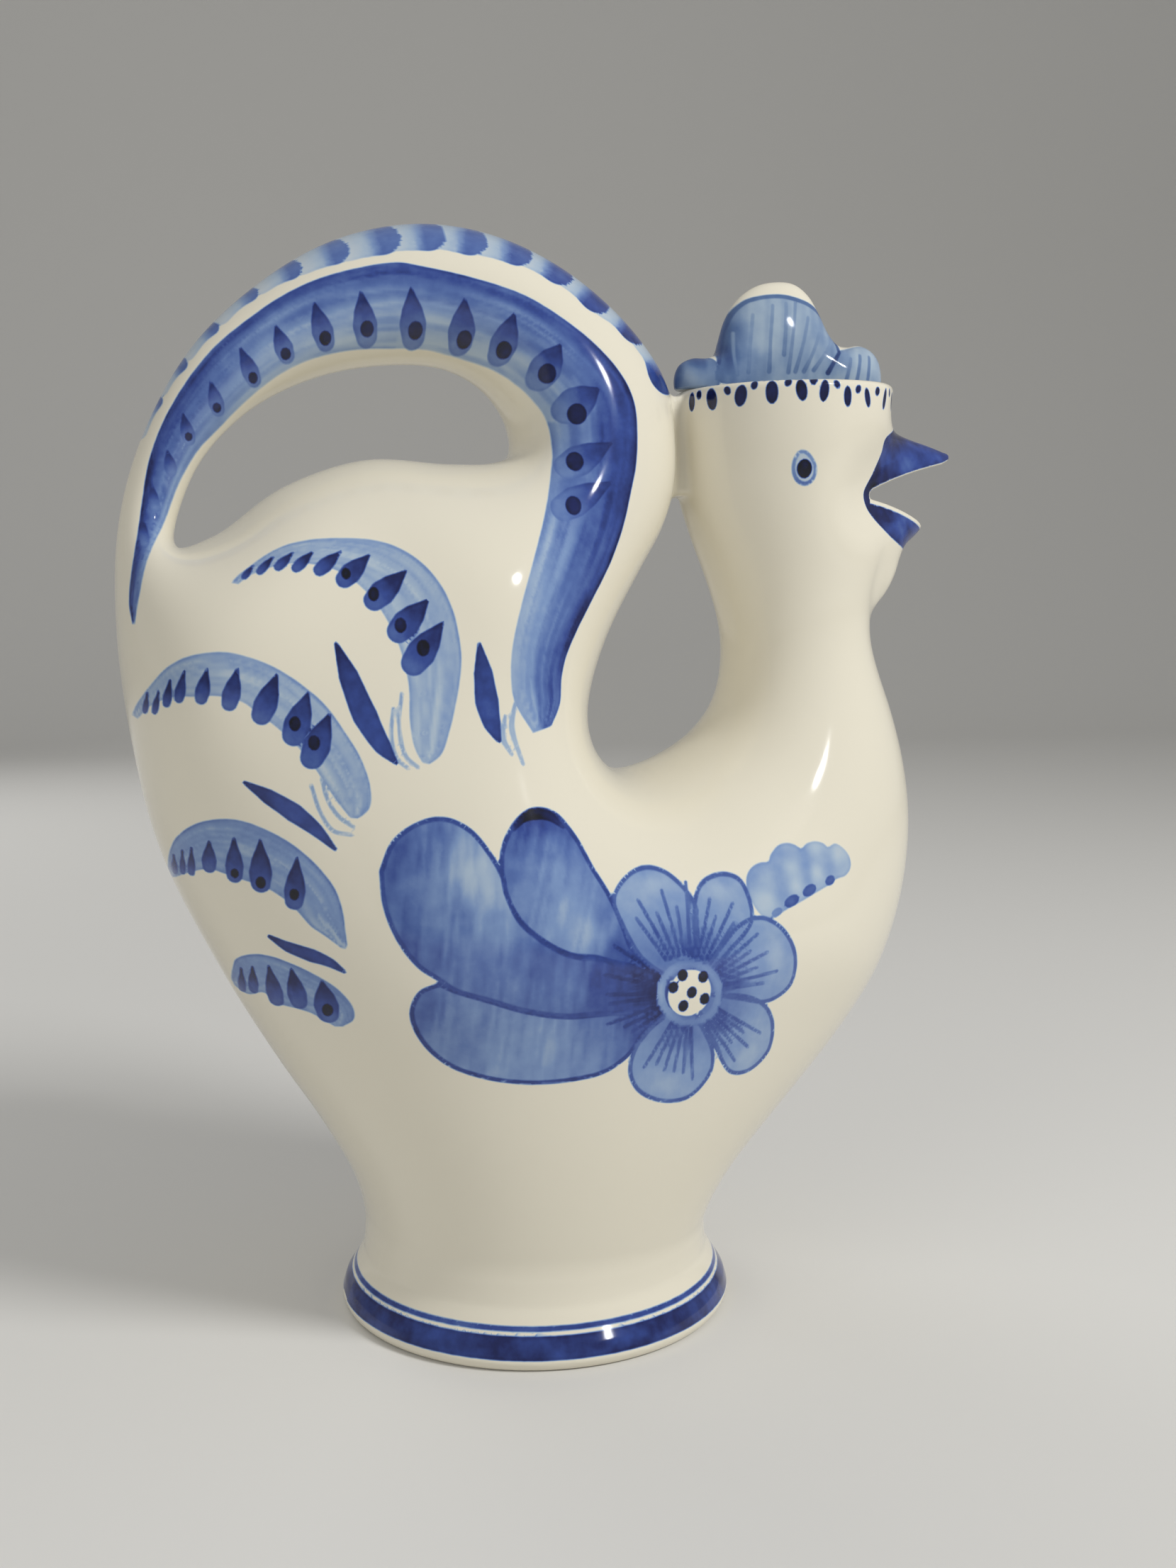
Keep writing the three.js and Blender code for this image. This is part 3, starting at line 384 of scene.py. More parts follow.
# The bird's outline from the foot up its rear, over the tail, down the neck, round the beak and
# down the chest. It runs on below the foot and above the rim, where it is cut level.
bird = {
    "rear": [(-38.7, -40), (-43.4, 18.5), (-46.8, 34), (-55.3, 50.3), (-65.9, 67), (-78.9, 89.8),
             (-92.4, 119.4), (-98.2, 145.2), (-101, 172), (-99.8, 197)],
    "tail": [(-93.4, 218.4), (-80.5, 240.2), (-60.2, 258), (-44, 266), (-26.6, 269.2), (-8.9, 267),
             (8.8, 259.2), (25, 246), (34, 233), (36.2, 220), (36, 208), (32.6, 197), (26.8, 187),
             (17.4, 170), (12.4, 156), (11.6, 149), (13.2, 143.2), (17.6, 138)],
    "neckRear": [(23.9, 135.9), (31, 137.4), (39.2, 141.6), (45.6, 146.8), (50, 154), (51.5, 164.5),
                 (50.6, 173.5), (47.2, 184.4), (42.6, 196), (39.4, 206), (38, 218), (37.8, 232.5)],
    "openTop": [(41, 272), (92, 272)],
    "beak": [(94.2, 232.5), (93.1, 228), (93.4, 225.2), (96.6, 223.3), (101.6, 221.6), (107.4, 220),
             (112, 218.5), (113.6, 217.9), (113.9, 216.9), (112.6, 215.2), (108.8, 208.4), (107.4, 201),
             (106.2, 199.2), (105, 197.6), (102.4, 195.2), (97.6, 192.2)],
    "chest": [(93, 188.4), (90.6, 183), (89.7, 176), (89.7, 170), (91.9, 162), (95.9, 151.2), (99.8, 136.5),
              (101.4, 120.5), (98.8, 100), (91.6, 81), (78.6, 63.3), (62.2, 45.6), (47.4, 29), (42.6, 18.5),
              (38.7, -40)],
    "fingerHole": [(-86.8, 192), (-82.3, 209), (-69.6, 223.6), (-50.5, 233.2), (-28, 236.2), (-18.6, 234.4),
                   (-11, 229.6), (-6.2, 222.4), (-5.4, 215.4), (-10.5, 213), (-22, 212.4), (-42, 213),
                   (-62, 206), (-78, 194.5)],
    # x, z and the half width there, with how far the width holds where it isn't 30
    "widths": [(0, 19, 43.2), (5.9, 50, 49), (4.9, 120, 49.5), (-44.2, 156, 42), (70.7, 170, 21.2),
               (65.7, 208, 25.8), (66.6, 232.5, 28.8), (-94, 190, 13.5), (-28, 253, 17.5), (15.5, 215, 24),
               (5.9, 188.5, 31), (98, 210, 3.6, 13), (91, 212, 4.5, 11), (83, 206, 8, 10),
               (84, 232, 22, 8), (90, 231, 16.6, 7), (82, 224, 23.6, 8)],
    "step": 1.0,
    "footProfile": [(-6, 48.6), (0, 49.2), (2.2, 50.3), (5.6, 49.3), (9, 47), (13.6, 44.4), (19, 43.3),
                    (28, 40)],
    "footTop": 26, "ringInside": 41, "recess": 3.2,
    "rimHeight": 232.8, "rimSlope": 0.032, "rimX": 66.6, "rimRear": 36.5,
    "cupRadius": 25.2, "cupFloor": 225.5,
    # height and radius of the way down the neck, whose axis lies a little ahead of the rim's
    "neckWay": [(140, 14.5), (195, 15.5), (214, 19), (240, 19)], "neckAhead": 2, "neckFloor": 150,
    # thin web between tail and head: middle along x, half length, half width, foot and top
    "web": (37.1, 2.8, 5.5, 205.5, 230.5),
    "wattle": {"middle": (90, 188.8), "across": 7.8, "along": 14.4, "half": 11.4, "lean": 20},
    # lip lines: start over or under the corner of the mouth, rise along x, bend, and share of depth to height
    "mouth": {"corner": (84.2, 205.8), "upper": (0.95, 0.42, -0.004, 0.9),
              "lower": (-0.8, -0.12, -0.0078, 0.96)},
    # half height, half width and middle of the pouring hole, and what each loses per mm past the corner
    "pour": ((4.3, 0.1), (6.8, 0.17), (207, 0.3)), "pourBack": 76,
    # how far the edges and joins are rounded
    "soft": {"wattle": 3.4, "webEdge": 2, "web": 1.8, "footTop": 2, "foot": 3, "sole": 1.2, "recess": 1,
             "rimRear": 1, "rim": 1.9, "cupFloor": 0.8, "neckFloor": 8, "bore": 0.8, "gape": 0.4,
             "corner": 1.2, "lip": 1.0, "pourBack": 1, "pour": 1.2},
    "grid": 1.45, "fineGrid": 0.95,
}
outline = sum((bird[part] for part in
               ("rear", "tail", "neckRear", "openTop", "beak", "chest")), [])
birdLoop = smoothLoop(outline)
holeLoop = smoothLoop(bird["fingerHole"])
birdFilm = Film([birdLoop, holeLoop], bird["step"], bird["widths"])
print("film over the bird", birdFilm.grid.shape)


def wattleForm(x, y, z):
    # leaning ellipsoid: one less its scaled radius, times the radius across
    w = bird["wattle"]
    lean = np.radians(w["lean"])
    dx, dz = x - w["middle"][0], z - w["middle"][1]
    across = (dx * np.cos(lean) - dz * np.sin(lean)) / w["across"]
    along = (dx * np.sin(lean) + dz * np.cos(lean)) / w["along"]
    side = y / w["half"]
    r = np.maximum(np.sqrt(across ** 2 + along ** 2 + side ** 2), 1e-3)
    k = w["across"] / r
    return [w["across"] * (1 - r),
            -k * (across * np.cos(lean) / w["across"] + along * np.sin(lean) / w["along"]),
            -k * side / w["half"],
            -k * (along * np.cos(lean) / w["along"] - across * np.sin(lean) / w["across"])]


def overRim(x, z, height):
    # above a level that rises a little toward the beak
    return [z - height - bird["rimSlope"] * (x - bird["rimX"]), -bird["rimSlope"], 0, 1]


def lipLine(name, x):
    # height and slope of a lip: its start, a rise and a bend along x from the corner of the mouth
    cornerX, cornerZ = bird["mouth"]["corner"]
    start, rise, bend = bird["mouth"][name][:3]
    s = x - cornerX
    return cornerZ + start + rise * s + bend * s ** 2, rise + 2 * bend * s


def birdForm(x, y, z):
    # swollen outline with what is joined on and cut away
    soft = bird["soft"]
    shape = join(swollen(birdFilm, x, y, z), wattleForm(x, y, z), soft["wattle"])
    # web between the tail's front bend and the back of the head
    middle, halfLong, halfWide, low, high = bird["web"]
    webX, slopeX = slab(x, middle - halfLong, middle + halfLong)
    webY, slopeY = slab(y, -halfWide, halfWide)
    webZ, slopeZ = slab(z, low, high)
    web = both([webX, slopeX, 0, 0], [webY, 0, slopeY, 0], soft["webEdge"])
    shape = join(shape, both(web, [webZ, 0, 0, slopeZ], soft["webEdge"]), soft["web"])
    # turned foot, cut level under the sole, with a recess inside its ring
    foot = both(lathe(bird["footProfile"], x, y, z), underLevel(z, bird["footTop"]), soft["footTop"])
    shape = both(join(shape, foot, soft["foot"]), overLevel(z, 0), soft["sole"])
    ring = lathe([(-9, bird["ringInside"]), (40, bird["ringInside"])], x, y, z)
    shape = cut(shape, both(ring, underLevel(z, bird["recess"]), soft["recess"]), soft["sole"])
    # open head: rim, cup for the stopper and the way down the neck
    mouthOfHead = both(overRim(x, z, bird["rimHeight"]), aheadOf(x, bird["rimRear"]), soft["rimRear"])
    shape = cut(shape, mouthOfHead, soft["rim"])
    cup = lathe([(100, bird["cupRadius"]), (300, bird["cupRadius"])], x, y, z, bird["rimX"])
    shape = cut(shape, both(cup, overLevel(z, bird["cupFloor"]), soft["cupFloor"]), soft["rim"])
    bore = lathe(bird["neckWay"], x, y, z, bird["rimX"] + bird["neckAhead"])
    shape = cut(shape, both(bore, overLevel(z, bird["neckFloor"]), soft["neckFloor"]), soft["bore"])
    # open mouth: between an upper and a lower lip line that meet in the corner
    upLip, upSlope = lipLine("upper", x)
    lowLip, lowSlope = lipLine("lower", x)
    up, low = bird["mouth"]["upper"][3], bird["mouth"]["lower"][3]
    underUpper = [(upLip - z) * up, upSlope * up, 0, -up]
    overLower = [(z - lowLip) * low, -lowSlope * low, 0, low]
    gape = both(underUpper, overLower, soft["gape"])
    cornerX = bird["mouth"]["corner"][0]
    shape = cut(shape, both(gape, aheadOf(x, cornerX), soft["corner"]), soft["lip"])
    # pouring hole behind the mouth, running out into a trough along the lower beak
    ahead = np.maximum(x - cornerX, 0)
    tall, wide, middle = (start - loss * ahead for start, loss in bird["pour"])
    pour = np.maximum(np.sqrt((y / wide) ** 2 + ((z - middle) / tall) ** 2), 1e-3)
    hole = [tall * (1 - pour), 0, -tall * y / wide ** 2 / pour, -(z - middle) / tall / pour]
    return cut(shape, both(hole, aheadOf(x, bird["pourBack"]), soft["pourBack"]), soft["pour"])


def spread(start, end, step, fineStart, fineEnd, fineStep):
    # grid lines a step apart, closer together in one stretch
    parts = [np.arange(start, fineStart, step), np.arange(fineStart, fineEnd, fineStep),
             np.arange(fineEnd, end, step)]
    return np.concatenate(parts)


gridX = spread(-105.3, 117, bird["grid"], 86.1, 117, bird["fineGrid"])
halfY = spread(bird["fineGrid"] / 2, 58, bird["grid"], bird["fineGrid"] / 2, 9.5, bird["fineGrid"])
gridY = np.concatenate([-halfY[::-1], halfY])
gridZ = np.arange(-2.3, 274, bird["grid"])
skinPoints, skinQuads = skinNets(birdForm, gridX, gridY, gridZ)
skinPoints, skinNormals = settle(skinPoints, birdForm, 2, 0.7)
print("skin of the bird", len(skinPoints), "points")
skinPoints, skinQuads = refine(skinPoints, skinQuads)
skinPoints, skinNormals = settle(skinPoints, birdForm, 2, 0.4)
print("finer skin", len(skinPoints), "points", len(skinQuads), "faces")

# Six pieces of the one skin: tail, head with the beak, and the two flanks and sides of the breast
seams = {
    # place, height and slope of the cuts through the tail's root and its front leg
    "root": (-94, 190, 0.6), "leg": (-5, 214, -0.49),
    "web": 36.4, "neck": 160, "breast": 8,
}
midX, midY, midZ = skinPoints[skinQuads].mean(1).T
above = [midZ > height + slope * (midX - place) for place, height, slope in (seams["root"], seams["leg"])]
inTail = (above[0] | above[1]) & (midX < seams["web"])
inHead = (midX >= seams["web"]) & (midZ > seams["neck"])
flank = np.where(midY < 0, 2, 3) + np.where(midX > seams["breast"], 2, 0)
pieceOf = np.where(inTail, 0, np.where(inHead, 1, flank))
pieceNames = ["tailSkin", "headSkin", "nearFlank", "farFlank", "nearBreast", "farBreast"]
pieceNodes = [("tail_handle", "tail_bridge"), ("upper_beak", "lower_beak")] + [("body",)] * 4

# The stopper: a turned plug and the comb that stands on it

comb = {
    "outline": [(37, 235.6), (38.3, 238.6), (41.5, 240.3), (45.2, 240.5), (47.7, 241.5), (48.7, 244.8),
                (50.3, 250.2), (53.6, 255.4), (58.4, 258.9), (63.4, 260.2), (68.6, 260), (72.6, 257.4),
                (75.8, 252.6), (78.4, 247.6), (80.7, 245.1), (83.6, 244.7), (87, 245.2), (90.4, 244),
                (92.6, 241.4), (93.4, 238), (93.2, 233), (90.4, 228), (84, 225), (66, 224),
                (48, 225), (40.4, 228), (37.3, 232)],
    "widths": [(64, 246, 6.9, 14), (43, 237, 5.3, 9), (87.4, 239.4, 5.6, 9), (66, 234, 6.2, 12)],
    "step": 0.6, "grid": 0.8, "seat": 233.15, "tongueRadius": 23.9, "tongueLow": 229.55,
    "tongueSoft": 0.3, "stepSoft": 0.4, "seatSoft": 0.8,
}
combFilm = Film([smoothLoop(comb["outline"])], comb["step"], comb["widths"], 300)


def combForm(x, y, z):
    # swollen outline, cut level on the rim, with a tongue inside the cup that stands on the plug
    tongue = lathe([(200, comb["tongueRadius"]), (280, comb["tongueRadius"])], x, y, z, bird["rimX"])
    tongue = both(tongue, overLevel(z, comb["tongueLow"]), comb["tongueSoft"])
    seat = join(tongue, overRim(x, z, comb["seat"]), comb["stepSoft"])
    return both(swollen(combFilm, x, y, z), seat, comb["seatSoft"])


combX = np.arange(35, 95.6, comb["grid"])
combY = np.arange(-9.2, 9.3, comb["grid"])
combZ = np.arange(228, 262.4, comb["grid"])
combPoints, combQuads = skinNets(combForm, combX, combY, combZ)
combPoints, combNormals = settle(combPoints, combForm, 2, 0.4)
combPoints, combQuads = refine(combPoints, combQuads)
combPoints, combNormals = settle(combPoints, combForm, 2, 0.2)
print("comb", len(combPoints), "points")

plug = {
    # radius and height round the section, from the middle of the top to the middle of the hollow
    "section": [(0.02, 229.6), (22.6, 229.6), (24.0, 229.2), (24.5, 228.2), (24.5, 227), (24.1, 226.1),
                (23.2, 225.8), (19.4, 225.8), (18.6, 225.2), (18.5, 224.2), (18.4, 212), (18.1, 210.6),
                (17.2, 209.9), (16, 210), (15.2, 210.8), (15, 212), (15, 221.5), (14.4, 222.3),
                (0.02, 222.4)],
    "turns": 144,
}
section = np.array(plug["section"])
fine = np.linspace(0, len(section) - 1, 6 * (len(section) - 1) + 1)
section = np.stack([np.interp(fine, np.arange(len(section)), section[:, n]) for n in (0, 1)], 1)
angle = np.linspace(0, 2 * np.pi, plug["turns"], endpoint=False)
# turned surface: x and y go round with the radius, z is the height
plugPoints = np.stack([bird["rimX"] + section[:, :1] * np.cos(angle), section[:, :1] * np.sin(angle),
                       section[:, 1:] + 0 * angle], 2).reshape(-1, 3)
plugQuads = gridFaces(len(section), plug["turns"], True)

# Camera: turned about the foot's middle, then pitched down. The painting below is placed through it once.
view = {"lens": 37.43, "height": 178.6, "turn": 15.0, "pitch": 6.33, "side": 13.8, "back": -412.7,
        "frame": (1659, 2212), "sensor": 36, "depths": (300, 530)}
turn, pitch = np.radians(view["turn"]), np.radians(view["pitch"])
sideways = np.array([np.cos(turn), -np.sin(turn), 0])
forward = np.array([np.sin(turn), np.cos(turn), 0])
eye = view["side"] * sideways + view["back"] * forward + np.array([0, 0, view["height"]])
look = forward * np.cos(pitch) - np.array([0, 0, np.sin(pitch)])
top = np.cross(sideways, look)
focal = view["lens"] / view["sensor"] * view["frame"][1]


# Painting: strokes are written in pixels of the 1659 x 2212 picture and carried on to the skin.
# They are laid in the plane of x and z, so both sides of the bird are painted alike.

def onSkin(form, pixels):
    # first place where the sight line of each pixel enters the form, or its closest pass, with mm per pixel
    p = np.array(pixels, float).reshape(-1, 2)
    right = (p[:, :1] - view["frame"][0] / 2) / focal
    down = (p[:, 1:] - view["frame"][1] / 2) / focal
    ray = look + sideways * right - top * down
    steps = np.linspace(*view["depths"], 116)
    reach = lambda d: form(*np.moveaxis(eye + ray[:, None] * d[..., None], 2, 0))[0]
    inside = reach(np.broadcast_to(steps, (len(p), len(steps))))
    hit = (inside > 0).any(1)
    first = np.where(hit, (inside > 0).argmax(1), inside.argmax(1))
    low, high = steps[np.maximum(first - 1, 0)], steps[first]
    for turns in range(10):
        half = (low + high) / 2
        within = reach(half[:, None])[:, 0] > 0
        low, high = np.where(within, low, half), np.where(within, half, high)
    far = np.where(hit, high, steps[first])
    return eye + ray * far[:, None], far / focal


def smoothLine(points, perSpan=6):
    # open curve: the closed one over the points with both ends carried on, less the spans that close it
    p = np.array(points, float)
    longer = np.concatenate([[2 * p[0] - p[1]], p, [2 * p[-1] - p[-2]]])
    spans = smoothLoop(longer, perSpan).reshape(-1, perSpan, 2)
    return np.concatenate([spans[1:len(p)].reshape(-1, 2), p[-1:]])


def dropsOn(line, places):
    # shortest drop from each place on to each straight piece of a line: share of the piece, and length
    d = line[1:] - line[:-1]
    q = places[:, None] - line[:-1]
    share = np.clip((q * d).sum(2) / np.maximum((d * d).sum(1), 1e-9), 0, 1)
    return share, np.linalg.norm(q - share[..., None] * d, axis=2)


def grain(u, v, seed):
    # smooth noise from 0 to 1: random values on a lattice, eased between its points
    table = np.random.default_rng(seed).random((64, 64))
    i, k = np.floor(u).astype(int), np.floor(v).astype(int)
    fu, fv = u - i, v - k
    fu, fv = fu * fu * (3 - 2 * fu), fv * fv * (3 - 2 * fv)
    at = lambda du, dv: table[(i + du) % 64, (k + dv) % 64]
    return (at(0, 0) * (1 - fu) + at(1, 0) * fu) * (1 - fv) + (at(0, 1) * (1 - fu) + at(1, 1) * fu) * fv


def sidePlane(points):
    # x and z, the same on both sides
    return points[:, [0, 2]]


def headPlane(points):
    # way round the head from the beak, and height
    around = np.arctan2(np.abs(points[:, 1]), points[:, 0] - bird["rimX"])
    return np.stack([headPaint["headRadius"] * around, points[:, 2]], 1)


class Coat:
    # One coat of paint over the points of a skin: how deep each lies inside the painted edge, in mm,
    # and how dark the paint is there. Outside the edge the depth is negative.
    bare = -4.0

    def __init__(self, form, points, flat=sidePlane):
        self.form, self.flat = form, flat
        self.plane = flat(points)
        self.edge = np.full(len(points), Coat.bare)
        self.tone = np.zeros(len(points))

    def seen(self, pixels):
        # pixels carried on to the coat's own plane, with mm per pixel there
        points, scale = onSkin(self.form, pixels)
        return self.flat(points), scale

    def close(self, line, reach):
        # points within reach of the line's box
        low, high = line.min(0) - reach, line.max(0) + reach
        return np.nonzero(((self.plane > low) & (self.plane < high)).all(1))[0]

    def put(self, at, depth, tone):
        # a later stroke covers an earlier one
        tone = tone + 0 * depth
        cover = (depth > 0) | (depth > self.edge[at])
        self.tone[at[cover]] = tone[cover]
        self.edge[at] = np.maximum(self.edge[at], depth)

    def shade(self, at, tones):
        # one tone, or tones at places with a soft mix of them between
        if np.isscalar(tones):
            return np.full(len(at), float(tones))
        places = self.seen([place for place, tone in tones])[0]
        far = ((self.plane[at][:, None] - places) ** 2).sum(2)
        weight = 1 / (far + 3) ** 1.5
        return (weight * np.array([tone for place, tone in tones])).sum(1) / weight.sum(1)

    def brush(self, pixels, halves, tones, least=0.42, shift=0.0):
        # round brush along a line: half its width there less the distance to the line; shift is to its left
        line, scale = self.seen(pixels)
        knots = np.linspace(0, 1, len(line))
        onLine = lambda v: np.interp(knots, np.linspace(0, 1, np.size(v)), np.ravel(v))
        half = np.maximum(onLine(halves) * scale, least)
        tone = onLine(tones)
        if len(line) > 2:
            line = smoothLine(line)
            fine = np.linspace(0, 1, len(line))
            half, tone = np.interp(fine, knots, half), np.interp(fine, knots, tone)
        if shift:
            way = np.gradient(line, axis=0)
            left = shift * np.stack([-way[:, 1], way[:, 0]], 1)
            line = line + left / np.linalg.norm(way, axis=1, keepdims=True)
        self.draw(line, half, tone)

    def draw(self, line, half, tone):
        # the brush itself, in mm of the coat's own plane
        at = self.close(line, half.max() + 2)
        share, gap = dropsOn(line, self.plane[at])
        depth = half[:-1] + share * (half[1:] - half[:-1]) - gap
        pick = depth.argmax(1)
        row = np.arange(len(at))
        self.put(at, depth[row, pick], np.interp(pick + share[row, pick], np.arange(len(line)), tone))

    def depthIn(self, loop, at):
        # distance to the loop, negative outside it
        gap = np.linalg.norm(self.plane[at] - nearestOn([loop], *self.plane[at].T), axis=1)
        return np.where(insideOf([loop], *self.plane[at].T), gap, -gap)

    def fill(self, pixels, tones, streak=None):
        # inside of a closed line; streak is angle, spacing and strength of brush marks
        self.flood(smoothLoop(self.seen(pixels)[0], 6), tones, streak)

    def flood(self, loop, tones, streak=None):
        # the same in mm of the coat's own plane
        at = self.close(loop, 2)
        x, z = self.plane[at].T
        tone = self.shade(at, tones)
        if streak:
            lean = np.radians(streak[0])
            u, v = x * np.cos(lean) + z * np.sin(lean), z * np.cos(lean) - x * np.sin(lean)
            tone = tone + streak[2] * (grain(u / (7 * streak[1]), v / streak[1], 5) - 0.5)
        self.put(at, self.depthIn(loop, at), tone)

    def band(self, outer, inner, across, streaks, seed, more):
        # strip between two lines: its tone goes across it from outer to inner, and more is added along it
        lines = [smoothLine(self.seen(side)[0]) for side in (outer, inner)]
        loop = np.concatenate([lines[0], lines[1][::-1]])
        at = self.close(loop, 2)
        far, along = [], []
        for line in lines:
            share, gap = dropsOn(line, self.plane[at])
            pick = gap.argmin(1)
            far.append(gap.min(1))
            length = np.concatenate([[0], np.cumsum(np.linalg.norm(np.diff(line, axis=0), axis=1))])
            along.append(np.interp(pick + share[np.arange(len(at)), pick], np.arange(len(line)), length))
        part = far[0] / (far[0] + far[1] + 1e-6)
        tone = np.interp(part, np.linspace(0, 1, len(across)), across)
        marks = grain(part * 8, along[0] / 16, seed) + 0.7 * grain(part * 24, along[0] / 22, seed + 1)
        tone = tone + streaks * (marks - 0.85)
        tone = tone + np.interp(along[0] / along[0].max(), np.linspace(0, 1, len(more)), more)
        self.put(at, self.depthIn(loop, at), tone)

    def drop(self, base, tip, width, tones):
        # leaf-shaped touch of a full brush: a point at the tip, a round belly near the base
        base, tip = np.array(base, float), np.array(tip, float)
        way = base - tip
        run = max(1 - 0.42 * width / np.hypot(*way), 0.3)
        line = tip + way * run * np.linspace(0, 1, 5)[:, None]
        self.brush(line, np.array([0.06, 0.42, 0.78, 0.98, 0.84]) * width / 2, tones, 0.25)

    def spot(self, middle, wide, tall, tone, lean=0.0):
        # oval touch: the circles that fit inside an ellipse, along its longer axis
        a, b = np.sort([wide / 2, tall / 2])
        lean = np.radians(lean if tall >= wide else lean + 90)
        t = np.linspace(-1, 1, 7) * max(b - a * a / b, 0.05)
        half = a * np.sqrt(np.maximum(1 - t ** 2 / max(b * b - a * a, 0.05), 0))
        axis = np.array([np.sin(lean), np.cos(lean)])
        self.brush(np.array(middle) + t[:, None] * axis, half, tone, 0.2)

    def lift(self, middle, radius):
        # wipes a round place clean
        place, scale = self.seen([middle])
        clear = np.linalg.norm(self.plane - place[0], axis=1) - radius * scale[0]
        self.edge = np.minimum(self.edge, clear)


tailPaint = {
    "outer": [(187, 880), (182, 848), (196, 740), (213, 640), (246, 565), (298, 494), (350, 450),
              (400, 416), (450, 393), (500, 379), (560, 370), (592, 375), (664, 391), (739, 416),
              (801, 454), (848, 494), (879, 532), (895, 569), (899, 612), (897, 657), (890, 694),
              (879, 743), (861, 794), (839, 839), (813, 891), (798, 928), (792, 957), (790, 992),
              (778, 1024)],
    "inner": [(190, 880), (196, 842), (208, 789), (232, 736), (253, 681), (279, 636), (313, 600),
              (350, 563), (398, 526), (445, 505), (497, 494), (550, 492), (603, 494), (655, 508),
              (703, 526), (745, 558), (771, 594), (779, 637), (776, 678), (770, 718), (759, 766),
              (744, 822), (730, 877), (722, 922), (721, 955), (726, 990), (752, 1034)],
    "across": [0.76, 0.66, 0.56, 0.48, 0.42, 0.36],
    "along": [0.14, 0.06, 0, -0.07, -0.1, -0.1, -0.06, 0.02, 0.08, 0.06, 0, -0.04],
    "brush": {"streaks": 0.2, "seed": 3, "paleHalves": [2, 4.5, 2.5], "paleTones": [0.3, 0.24], "dropWide": 1,
              "dropTones": (0.78, 0.78, 0.72, 0.6, 0.5), "dot": (0.54, 0.62), "dotTone": 0.91},
    "pale": [[(727, 992), (722, 1026), (738, 1078)], [(713, 1010), (709, 1040), (722, 1064)]],
    "drops": [((778, 726), (863, 680), 44, (809, 713)), ((785, 667), (863, 625), 44, (811, 651)),
              ((783, 589), (845, 548), 48, (814, 584)), ((752, 548), (791, 486), 44, (772, 527)),
              ((700, 514), (726, 442), 38, (711, 494)), ((648, 499), (656, 421), 38, (655, 479)),
              ((584, 491), (580, 406), 38, (586, 466)), ((519, 489), (509, 411), 35, (518, 464)),
              ((463, 494), (443, 427), 31, (459, 477)), ((408, 512), (389, 460), 27, (403, 499)),
              ((362, 545), (339, 491), 25, (357, 533)), ((310, 587), (297, 538), 22, (306, 575)),
              ((269, 628), (258, 584), 20, (266, 616)), ((243, 672), (236, 636), 18, None),
              ((220, 722), (213, 682), 16, None), ((205, 772), (200, 728), 14, None)],
    # dabs: half widths, tones and how far they lie off the line; where along x they start to grow, over
    # what stretch and from what share; and the same for their dark ends, with tone and what is added
    "dabHalves": [28, 33, 31], "dabTones": [0.16, 0.2, 0.24, 0.28, 0.38], "dabShift": 1.5,
    "dabSize": (180, 380, 0.42), "dabEnd": (640, 260, 0.56, 0.2),
    # shares of the way between two points: where a dab starts and stops, and how far it bows out
    "dabStart": 0.12, "dabStop": 0.2, "dabBow": 0.05,
    "dabs": [(196, 618), (225, 558), (261, 507), (307, 455), (362, 408), (419, 377), (481, 354), (549, 338),
             (611, 334), (668, 342), (735, 358), (791, 386), (842, 426), (896, 471), (936, 540)],
}

